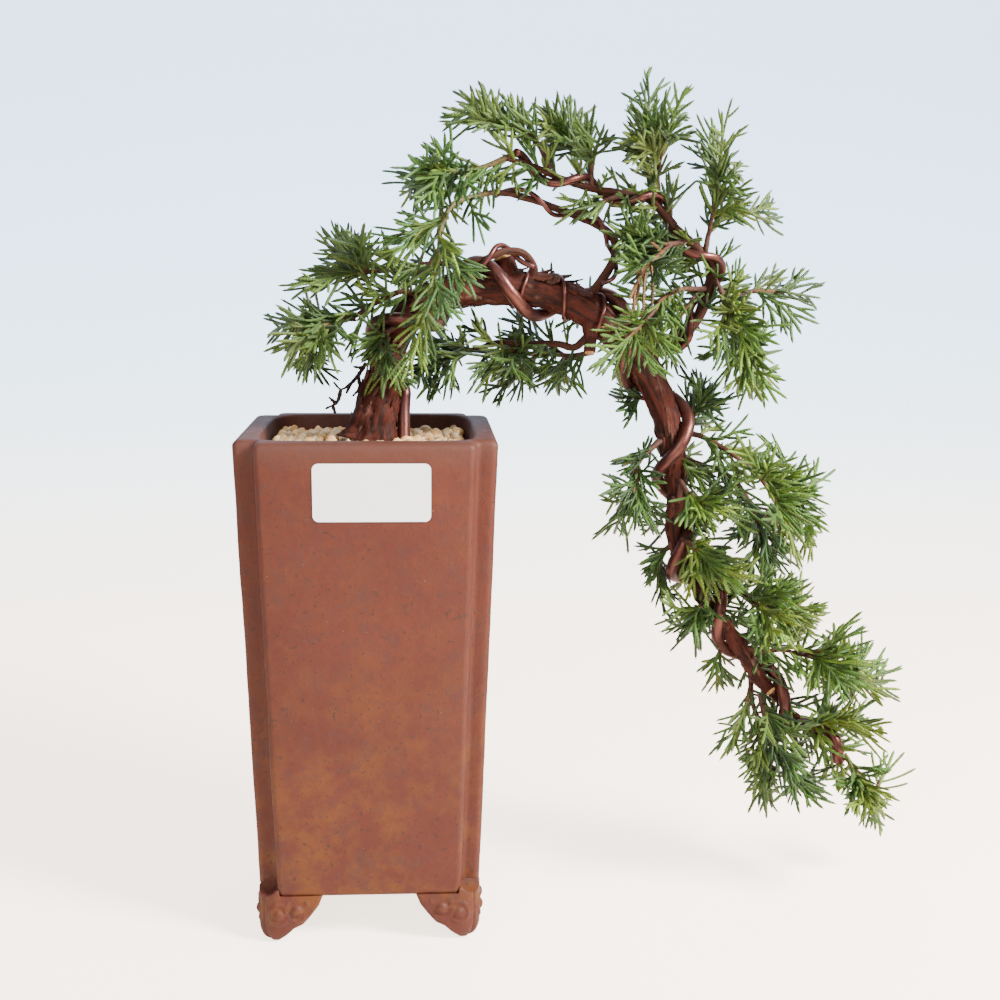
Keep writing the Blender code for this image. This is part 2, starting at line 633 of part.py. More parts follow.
def make_wire(name, points, radius, level, taken, parts):
    coloured(tube(name, points, [radius] * len(points), level, parts), "copper")
    taken.add_line(name, points, [radius] * len(points))


def make_trunk_wires(trunk, taken, parts):
    for name, start, end in TRUNK_WIRE_PIECES:
        points = winding(trunk, TRUNK_WINDING, start, end, TRUNK_WIRE)
        make_wire(name, points, TRUNK_WIRE, 1, taken, parts)


def make_side_wires(boughs, taken, parts):
    for name, carriers, radius, hand, marks, level in SIDE_WIRES:
        rows = np.concatenate([boughs[carrier].rows for carrier in carriers])
        line = Spine(rows[::4].tolist() + [rows[-1].tolist()])
        points = winding(line, marks, marks[0][0], marks[-1][0], radius, hand)
        make_wire(name, points, radius, level, taken, parts)


def make_dead_twig(taken, parts):
    rods = []
    for index, points in enumerate(DEAD_TWIG):
        line = Spine(tapered(points, DEAD_TWIG_RADIUS, 0.5))
        rods.append(limb(f"dead_{index}", line, 0, line.length, 3.0, 0, parts))
        taken.add_line("dead_twig", [Vector(point) for point in points], [DEAD_TWIG_RADIUS] * len(points))
    for rod in rods[1:]:
        boolean(rods[0], "UNION", rod)
    coloured(settle(rods[0], "dead_twig", parts), "dead_wood")
    for rod in rods[1:]:
        bpy.data.objects.remove(rod)


# ---------------------------------------------------------------- foliage

def spray_shape(right_teeth, left_teeth):
    """A unit spray along +X: a blade with a tip, and a tooth at each place given for its two sides."""
    angle = math.radians(SPRAY_ANGLE)
    edges = []
    for side, teeth in ((-1, right_teeth), (1, left_teeth)):
        edge = []
        for at in teeth:
            reach = 0.56 - 0.3 * at
            width = SPRAY_BLADE * (1 - 0.5 * at)
            edge += [(at - SPRAY_TOOTH * 0.4, side * width),
                     (at + reach * math.cos(angle), side * (width + reach * math.sin(angle))),
                     (at + SPRAY_TOOTH * 0.6, side * width * 0.9)]
        edges.append(edge)
    return [(0, -SPRAY_FOOT)] + edges[0] + [(1, 0)] + edges[1][::-1] + [(0, SPRAY_FOOT)]


def spray_rods(place, outline):
    """The rods that stand for a placed spray when its clearance is tested."""
    rods = []
    for x, y in outline:
        if abs(y) > 2 * SPRAY_BLADE:
            root = (x - abs(y) / math.tan(math.radians(SPRAY_ANGLE)), 0)
            rods.append((place @ Vector((*root, 0)), place @ Vector((x, y, 0)), SPRAY_THICK))
    rods.append((place @ Vector((0, 0, 0)), place @ Vector((1, 0, 0)), SPRAY_BLADE * SPRAY_LENGTH))
    return rods


def spray_mesh(name, outline, collection):
    """A flat outline filled and given its thickness, at unit length and real thickness."""
    curve = bpy.data.curves.new(name, "CURVE")
    curve.dimensions = "2D"
    curve.fill_mode = "BOTH"
    curve.extrude = SPRAY_THICK / 2 * MM
    spline = curve.splines.new("POLY")
    spline.points.add(len(outline) - 1)
    for place, (x, y) in zip(spline.points, outline):
        place.co = (x, y, 0, 1)
    spline.use_cyclic_u = True
    guide = bpy.data.objects.new(name, curve)
    collection.objects.link(guide)
    mesh = evaluated_mesh(guide)
    bpy.data.objects.remove(guide)
    bm = bmesh.new()
    bm.from_mesh(mesh)
    bmesh.ops.remove_doubles(bm, verts=bm.verts, dist=1e-7)
    bmesh.ops.recalc_face_normals(bm, faces=bm.faces)
    bm.to_mesh(mesh)
    bm.free()
    return mesh


def set_back(x, z, y):
    """A place of the front view, moved along its line of sight to depth y."""
    seen = Vector((x, 0, z)) - FRONT_EYE
    return FRONT_EYE + seen * ((y - FRONT_EYE.y) / -FRONT_EYE.y)


def facing(foot, tip, roll, length):
    """Matrix that lays a unit spray from foot towards tip, turned about its own axis."""
    along = (tip - foot).normalized()
    side = along.cross(Vector((0, -1, 0)))
    side = side.normalized() if side.length > 0.05 else along.orthogonal().normalized()
    turn = Matrix.Rotation(roll, 3, along)
    side = turn @ side
    flat = along.cross(side)
    place = Matrix((along, side, flat)).transposed().to_4x4()
    return Matrix.Translation(foot) @ place @ Matrix.Diagonal((length, length, 1, 1))


def keep_largest(mesh):
    """Keeps the largest shell of a mesh, which drops loose scraps and sealed hollows."""
    bm = bmesh.new()
    bm.from_mesh(mesh)
    seen, shells = set(), []
    for face in bm.faces:
        if face in seen:
            continue
        shell, queue = [], [face]
        seen.add(face)
        while queue:
            current = queue.pop()
            shell.append(current)
            for edge in current.edges:
                for other in edge.link_faces:
                    if other not in seen:
                        seen.add(other)
                        queue.append(other)
        shells.append(shell)
    shells.sort(key=len)
    bmesh.ops.delete(bm, geom=[face for shell in shells[:-1] for face in shell], context="FACES")
    bmesh.ops.recalc_face_normals(bm, faces=bm.faces)
    bm.to_mesh(mesh)
    bm.free()


def grow_mass(index, limbs, surfaces, outlines, meshes, taken, parts):
    """One stem, a twig to each tip, and sprays at the end and half way along each twig."""
    name, stem_points, tips, depth = MASSES[index]
    dice = random.Random(SEED + index)
    stem, start = seated_stem(name, stem_points, limbs, surfaces, taken)
    node = limb(name, stem, start, stem.length, 7.0, 0, parts)
    stations = [stem.at(distance) for distance in np.arange(start + 1, stem.length, 3)]
    taken.add_line(name, [s[0] for s in stations], [s[2] for s in stations])
    growth = new_collection(name + "_growth", hidden=True)
    for order, (x, z) in enumerate(tips):
        wave = math.sin(2.4 * order + index)
        for attempt in range(TRIES):
            ease = 1 - 0.06 * (attempt // 4)
            y = stem.at(stem.length)[0].y + depth * wave * ease + dice.uniform(-1, 1) * attempt
            tip = set_back(x, z, y)
            if grow_leader(name, order, stem, start, tip, ease, dice, outlines, meshes, taken, growth):
                break
    boolean(node, "UNION", group=growth)
    node = settle(node, name, parts)
    keep_largest(node.data)
    for obj in list(growth.objects):
        bpy.data.objects.remove(obj)
    bpy.data.collections.remove(growth)
    coloured(node, "needles")


def seated_stem(name, points, limbs, surfaces, taken):
    """The line of a stem from inside its bough's tip or side, and the distance at which it comes clear."""
    first = Vector(points[0])
    carrier = min(limbs, key=lambda key: (limbs[key].at(limbs[key].nearest(first))[0] - first).length)
    line = limbs[carrier]
    at_tip = (line.at(line.length)[0] - first).length < 3
    for slide in STEM_SLIDES:
        foot = line.at(line.length if at_tip else line.nearest(first) + slide)[0]
        stem = Spine(tapered([foot] + points[1:], *STEM_RADIUS))
        start = first_clear(stem, surfaces)
        rods = [(stem.at(distance)[0], stem.at(distance + 2)[0], STEM_RADIUS[0])
                for distance in np.arange(start + 3, stem.length - 1, 2)]
        rooted = [(stem.at(start)[0], stem.at(start + 3)[0], 0.4)]
        if taken.free(rods, name) and taken.free(rooted, name, ("trunk", carrier)):
            break
    return stem, start


def grow_leader(name, order, stem, start, tip, ease, dice, outlines, meshes, taken, growth):
    """A twig from the stem towards a tip with its sprays. False where it would touch something."""
    best = None
    for distance in np.arange(start + 2.0, stem.length + 0.1, 2.0):
        point, direction, radius = stem.at(distance)
        reach = tip - point
        cost = reach.length * (1.9 - reach.normalized().dot(direction))
        if best is None or cost < best[0]:
            best = (cost, point, radius)
    foot = best[1]
    reach = (tip - foot).length
    length = min(SPRAY_LENGTH * ease, reach * 0.92)
    bend = (tip - foot).normalized()
    root = tip - bend * length
    roll = dice.uniform(-0.9, 0.9)
    placed = [(facing(root, tip, roll, length), dice.randrange(len(outlines)))]
    if reach - length > BARE_TWIG:
        side = bend.cross(Vector((0, -1, 0))).normalized() * dice.choice((-1, 1))
        branch = foot + bend * (reach - length) * 0.55
        aim = branch + (bend + side * 0.75).normalized() * length * 0.85
        placed.append((facing(branch, aim, dice.uniform(-0.9, 0.9), length * 0.85),
                       dice.randrange(len(outlines))))
    twig = (foot, root + bend * min(4, length / 3), TWIG_RADIUS[0])
    if not taken.free([twig] + spray_rods(placed[0][0], outlines[placed[0][1]]), name):
        return False
    kept = placed[:1] + [spray for spray in placed[1:]
                         if taken.free(spray_rods(spray[0], outlines[spray[1]]), name)]
    cone(f"{name}_twig_{order}", twig[0], twig[1], *TWIG_RADIUS, 3, growth)
    taken.add(name, *twig)
    for number, (place, shape) in enumerate(kept):
        spray = mesh_object(f"{name}_spray_{order}_{number}", meshes[shape], growth)
        scale = Matrix.Diagonal((MM, MM, MM, 1)) @ place @ Matrix.Diagonal((1, 1, 1 / MM, 1))
        spray.matrix_world = scale
        for rod in spray_rods(place, outlines[shape]):
            taken.add(name, *rod)
    return True


def make_masses(limbs, surfaces, taken, parts, cutters):
    outlines = [spray_shape(*teeth) for teeth in SPRAY_TEETH]
    meshes = [spray_mesh(f"spray_{i}", outline, cutters) for i, outline in enumerate(outlines)]
    for index in range(len(MASSES)):
        grow_mass(index, limbs, surfaces, outlines, meshes, taken, parts)


# ---------------------------------------------------------------- whole plant

def set_on_origin(parts):
    """One empty carries all pieces: the middle of their underside comes to the origin."""
    bpy.context.view_layer.update()
    graph = bpy.context.evaluated_depsgraph_get()
    corners = []
    for obj in parts.objects:
        mesh = obj.evaluated_get(graph).to_mesh()
        points = np.empty(len(mesh.vertices) * 3, np.float32)
        mesh.vertices.foreach_get("co", points)
        points = points.reshape(-1, 3)
        corners += [points.min(axis=0), points.max(axis=0)]
    low, high = np.min(corners, axis=0), np.max(corners, axis=0)
    stand = bpy.data.objects.new("plant_stand", None)
    bpy.context.scene.collection.objects.link(stand)
    stand.location = (-(low[0] + high[0]) / 2, -(low[1] + high[1]) / 2, -low[2])
    for obj in parts.objects:
        obj.parent = stand


def shade(parts):
    for obj in parts.objects:
        if obj.name.startswith(("trunk", "bough", "wire", "pot", "dead")):
            obj.data.shade_smooth()
            obj.data.set_sharp_from_angle(angle=math.radians(38))


def main():
    clear_scene()
    parts = new_collection("juniper_bonsai")
    cutters = new_collection("cutters", hidden=True)
    taken = Occupied()
    make_pot(parts, cutters)
    make_feet(parts, cutters)
    make_soil(parts)
    trunk = Spine(TRUNK)
    surfaces = make_trunk(trunk, taken, parts, cutters)
    make_trunk_wires(trunk, taken, parts)
    boughs = make_boughs(surfaces, taken, parts)
    make_side_wires(boughs, taken, parts)
    make_dead_twig(taken, parts)
    make_masses({"trunk": trunk, **boughs}, surfaces, taken, parts, cutters)
    shade(parts)
    set_on_origin(parts)


main()
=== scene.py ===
"""Cascade juniper bonsai in a tall square clay pot: its dressed model, light and camera.

Sizes are in millimetres in the pot's own place, with the pot's middle at x = y = 0 and its feet on
z = 0. settled() turns them into metres in the frame. The tree is styled for the side towards -Y.
"""

import itertools
import math
import random

import bmesh
import bpy
import numpy as np
from mathutils import Matrix, Vector, noise


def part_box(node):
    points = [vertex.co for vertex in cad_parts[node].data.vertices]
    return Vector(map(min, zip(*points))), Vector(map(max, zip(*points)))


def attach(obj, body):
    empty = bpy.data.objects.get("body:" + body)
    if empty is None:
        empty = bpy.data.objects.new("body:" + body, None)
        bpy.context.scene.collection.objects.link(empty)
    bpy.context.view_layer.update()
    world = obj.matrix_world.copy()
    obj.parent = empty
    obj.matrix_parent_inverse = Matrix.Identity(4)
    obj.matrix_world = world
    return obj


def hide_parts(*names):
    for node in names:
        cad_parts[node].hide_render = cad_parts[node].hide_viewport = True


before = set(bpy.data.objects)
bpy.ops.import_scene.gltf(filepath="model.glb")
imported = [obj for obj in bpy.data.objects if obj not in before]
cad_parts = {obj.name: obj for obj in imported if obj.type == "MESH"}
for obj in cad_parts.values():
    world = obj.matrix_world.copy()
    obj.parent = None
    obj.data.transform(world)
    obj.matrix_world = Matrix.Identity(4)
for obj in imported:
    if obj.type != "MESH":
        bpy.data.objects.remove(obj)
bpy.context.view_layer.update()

MM = 0.001
SEED = 24
POT_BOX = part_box("pot")
ORIGIN = np.array([(POT_BOX[0][0] + POT_BOX[1][0]) / 2, (POT_BOX[0][1] + POT_BOX[1][1]) / 2, 0.0])

# Pot: heights are above the floor, and its top, base and mouth are measured from side to side.
POT_HEIGHT = 190.5
POT_TOP = 95.0
POT_BASE = 83.0
FOOT_HEIGHT = 18.4
NOTCH = 8.3  # how deep the corners are cut in, at the rim
CORNER_ROUND = 2.3
CORNER_STEPS = 6
FLAT_STEPS = 5
BASE_EDGE = [(3.0, 0.4), (1.4, 0.1), (0.5, 0.6), (0.1, 1.6)]  # round lower edge: inset, height above the base
WALL_START = 3.0
WALL_RINGS = 44
WALL_WAVES = [(0.035, 1.0), (0.12, 0.4)]  # hand-made unevenness: how fine, how strong
WALL_UNEVEN = 0.35
RIM_ROUND = 2.8
MOUTH_ROUND = 1.3
ROUND_STEPS = 5
MOUTH_TOP = 78.8
MOUTH_LOW = 75.5
MOUTH_POWER = 7.0  # 2 is a round mouth, and more is squarer
MOUTH_DEPTH = 14.0

# Feet. The outline of a wing: along the wall from the corner, height.
FOOT_WING = [(0.6, 16.8), (0.2, 12.0), (0.8, 6.0), (2.4, 1.4), (4.4, 0), (9.0, 0), (11.4, 2.2),
             (13.8, 5.4), (17.4, 7.2), (20.4, 10.8), (23.2, 14.6), (25.0, 19.2), (9.0, 22.0), (1.4, 20.6)]
FOOT_CORNER = 42.1  # the walls of a foot, from the pot's middle
FOOT_EDGES = [(-9.0, 0.0), (-1.9, 0.0), (-1.0, 0.5), (-0.4, 1.4)]  # step out from the wall, inset there
FOOT_TURN = 8.0  # radius of a foot's rounded corner
FOOT_SHOULDER = 3.0  # how far the foot climbs into the notch of the pot's corner
SHOULDER_START, SHOULDER_FADE, SHOULDER_SLOPE = -0.6, 2.2, 0.16  # its way out of the notch
FOOT_GRAIN = 0.42  # fineness of the mesh that fuses a foot
FOOT_SOFTENING = 5
FOOT_FLATTER = 0.3  # share of the relief beyond the wall that is pressed back
TOE_HEIGHT = 6.0
TOE_MIDDLE = 6.4  # in from both walls
TOE_PINCH = 0.42  # share that the foot narrows by at the floor
# Knobs of a scroll foot: along the wall from the corner, height, radius, share of it that stands out.
FOOT_KNOBS = [(8.4, 11.4, 2.1, 0.62), (15.0, 13.2, 2.3, 0.6)]
# Balls on a foot's corner: in from both walls, height, radius.
CORNER_BALLS = [(3.6, 13.4, 2.6), (6.6, 5.6, 5.7)]
# The curl round a knob is a row of small balls.
CURL_RING = 1.62  # its radius, in radii of the knob
CURL_THICK = 0.95
CURL_SUNK = 0.55
CURL_BALLS = 26
CURL_TURN = 32  # balls in a whole turn
CURL_START = 0.62  # where it starts, in turns
CURL_OPENS = 0.012  # growth of its radius from ball to ball
CURL_CORNER, CURL_LOW, CURL_HIGH = 4.0, 3.0, FOOT_HEIGHT - 2  # the curls end short of the foot's edges

# Label
LABEL_SIZE = (41.7, 20.9)
LABEL_PLACE = (2.3, 172.9)
LABEL_CORNER = 2.2
LABEL_CORNER_STEPS = 6
LABEL_OFF = 0.35  # clear of the pot's uneven wall
LABEL_THICK = 0.12

# Soil
SOIL_TOP = 185.5
PEBBLE_LAYERS = (4.4, 2.4, 0.9)  # middles of the layers of pebbles, below the top
TOP_GAPS = 0.3  # share of the top layer that is left out
PEBBLE_PITCH = 3.7
PEBBLE_STRAY = 1.3
PEBBLE_SIZE = (1.6, 2.9)
PEBBLE_CHIPS = 7
MOUTH_CLEARANCE = 1.0

# The trunk line from the soil to the tail: x, y, z, radius.
TRUNK = [
    (1, 0, 185.8, 9.4), (3, 0, 198, 7.9), (6, 0, 210, 6.9), (9, 0, 223, 6.3),
    (19, 0, 236, 6.4), (40, 0, 243, 6.8), (65, 0, 242, 6.4), (85, 0, 234, 6.4),
    (101, 0, 219, 6.3), (111, 0, 203, 5.7), (117, 0, 183, 4.9), (119, 0, 165, 3.9),
    (119, 0, 146, 3.3), (129, 0, 127, 3.3), (142, 0, 109, 3.3), (154, 0, 91, 2.9),
    (161, 2, 83, 2.1), (175, 2, 68, 1.5), (184, 0, 62, 1.2), (192, -1, 55, 0.9),
]
TRUNK_NODES = ["trunk_foot", "trunk_arch", "trunk_fall", "trunk_tail", "bough_tail"]
# Root flare: direction in degrees round the trunk, how far it stands out, its half width in degrees.
ROOTS = [(205, 5.4, 22), (255, 3.0, 16), (305, 2.4, 16), (120, 4.0, 24), (20, 2.0, 18)]
ROOT_FALL = 6.0
ROOT_TWIST = 2.2  # degrees the roots' ridges turn in each millimetre up the trunk
# Stubs of old branches: foot, tip, radius at each end.
STUBS = [((54, 1, 245), (50.5, 0, 254.5), 5.0, 4.1), ((84, -2, 231), (83.5, -6, 219.5), 3.4, 2.2),
         ((153.5, -0.5, 90.5), (158.4, -5.2, 85.2), 3.0, 2.6)]

# Bark: how fine its lumps, fibres and cracks are round a limb and along it, and how far each stands out.
LUMP_FINENESS = 0.17
FIBRE_FINENESS = (1.3, 1.3, 0.17)
CRACK_FINENESS = (0.26, 0.26, 0.035)
CRACK_WIDTH = 0.06
CRACK_WANDER = 2.5
LUMP_PUSH, FIBRE_PUSH, CRACK_PUSH = 1.3, 0.4, -0.8
BARK_END = 1.2  # the relief fades out over this much of a limb's end
GRAIN_FINENESS = (1.2, 1.2, 0.16)
# Limbs covered in bark: points round, pitch of the rings, relief.
FLARE_BARK = (72, 0.6, 1.15)
TRUNK_BARK = (64, 0.7, 0.75)
STUB_BARK = (30, 0.4, 0.55)
BOUGH_BARK = (22, 0.5, 0.32)
FLARE_END = 40  # where the trunk's finer bark starts, along it
# Bud knobs on the trunk: how many, where they start and stop short of the tip, size, height.
BUD_KNOBS = 90
BUD_PLACES = (95, 20)
BUD_SIZE = (0.5, 0.8)
BUD_HEIGHT = (0.35, 0.6)
# Loose bark: how many strips, first and last place along the trunk, furthest lift.
LOOSE_BARK = [(56, 2, 40, 1.1), (26, 40, 92, 0.9), (17, 91, 112, 3.4), (30, 113, 200, 0.8),
              (30, 200, 300, 0.7)]
FLAKE_LENGTH = (4, 11)
FLAKE_WIDTH = (0.8, 2.6)
FLAKE_STEPS = 12
FLAKE_LINES = (-1, -0.3, 0.3, 1)  # lines of points along a strip, in half widths from its middle
FLAKE_THICK = 0.25
HIGH_LIFT = 2.0  # strips that lift further than this are the wide ones on top of the arch
HIGH_WIDER = 1.7

# Boughs: name, points x, y, z, radius at foot and tip.
BOUGHS = [
    ("bough_upper_low", [(84, 0, 241), (89, 1, 247), (93, 2, 254), (93, 2, 261), (88, 1, 266)], 1.9, 1.6),
    ("bough_upper_top", [(87.6, 1, 266.3), (80, 0, 269.5), (67, -2, 274), (54, -6, 277.5), (48, -9, 278)],
     1.6, 1.1),
    ("bough_apex_low", [(104, 4, 221), (112, 7, 222.5), (121, 11, 225), (128, 13, 232), (131.5, 13, 241),
                        (133, 12, 248), (130.5, 9, 254), (123.5, 6, 260), (116, 4, 266)], 2.6, 2.0),
    ("bough_apex_top", [(115.7, 3.9, 266.4), (111, 2, 272), (104, 0, 277), (86.5, -4, 279.5),
                        (74, -7, 282.5), (62, -10, 287), (51, -13, 290)], 2.0, 1.0),
    ("bough_left", [(60, -2, 243), (62, -4, 250.5), (58, -7, 256), (51, -9, 256.8), (44, -10.5, 254.3),
                    (36, -9, 252.5), (23, -6, 252), (13, -4, 249.5)], 1.7, 0.9),
    ("bough_left_under", [(20, -3, 239), (14, -7, 242), (6.5, -9, 239.5), (-1, -11, 235), (-6, -12, 232)],
     1.2, 0.8),
    ("bough_lower", [(86, 5, 228), (80, 9, 220.5), (72, 9, 221.5), (58, 11, 221.5), (50, 12, 222),
                     (42, 13, 219.5)], 1.6, 0.9),
    ("bough_cascade", [(117, -1, 188), (126, -1, 187.5), (132, -3, 185), (138, -6, 181.5),
                       (143, -8, 177.5)], 1.3, 0.8),
    ("bough_behind", [(119, 3, 178), (126, 6, 176), (131, 8, 174), (138, 10, 172), (145, 11, 167)],
     1.1, 0.8),
    ("bough_low", [(121, -2, 141), (131, -4, 135), (137, -5, 131), (143, -5, 126.5)], 1.1, 0.8),
    ("bough_right", [(146, 0, 103), (154, -2, 100.5), (162, -3, 101.5), (170, -4, 100)], 1.2, 0.8),
]
DEAD_TWIG = [[(-1, 1, 214.5), (-4, 1, 210), (-7, 0, 206.7), (-10.5, -1, 204.8), (-13.2, -1, 207.5)],
             [(-10.5, -1, 204.8), (-12, -2, 200), (-16.3, -3, 197.6)],
             [(-4, 1, 210), (-3.7, 3, 205), (-6.2, 4, 201.8)], [(-7, 0, 206.7), (-8.4, -2, 203.4)],
             [(-2.2, 1, 212.6), (-5.6, -1, 213.4)], [(-12.4, -2.4, 199.6), (-14.8, -4, 202)],
             [(-13.6, -2.6, 198.8), (-12.8, -1, 195.8)]]
DEAD_TWIG_RADII = (0.85, 0.4)

# Wire: (distance along the limb, turns made there), where whole turns lie on the front.
TRUNK_WIRE = 2.5
TRUNK_WINDING = [(0, -0.75), (1, -0.75), (20, -0.68), (34, -0.42), (48, 0), (89, 1), (140, 2), (187, 3),
                 (227, 4), (257, 5), (306, 6), (335, 7), (339, 7.12)]
# Name, boughs it runs along, radius, hand, winding.
SIDE_WIRES = [
    ("wire_apex", ("bough_apex_low", "bough_apex_top"), 1.6, -1,
     [(9, -0.4), (22, 0), (57, 1), (92, 2), (122, 3), (144, 3.8)]),
    ("wire_left", ("bough_left",), 1.0, -1, [(10, 0), (30, 1), (52, 2), (64, 2.5)]),
    ("wire_upper", ("bough_upper_low", "bough_upper_top"), 0.9, 1, [(5, 0), (30, 1), (56, 2), (74, 2.6)]),
]
WIRE_GAP = 0.35
# Thin wires round the arch: hand, (distance along the trunk, turns made there).
BINDINGS = [(-1, [(90, -0.45), (95, 0), (99, 0.42)]), (1, [(99, 0.3), (111, 1), (127, 2), (134, 2.45)])]
BINDING_WIRE = 0.8
WIRE_STEP = 0.22
WIRE_SOFTENING = 9  # points of a wire's line that are averaged, so that it bends evenly

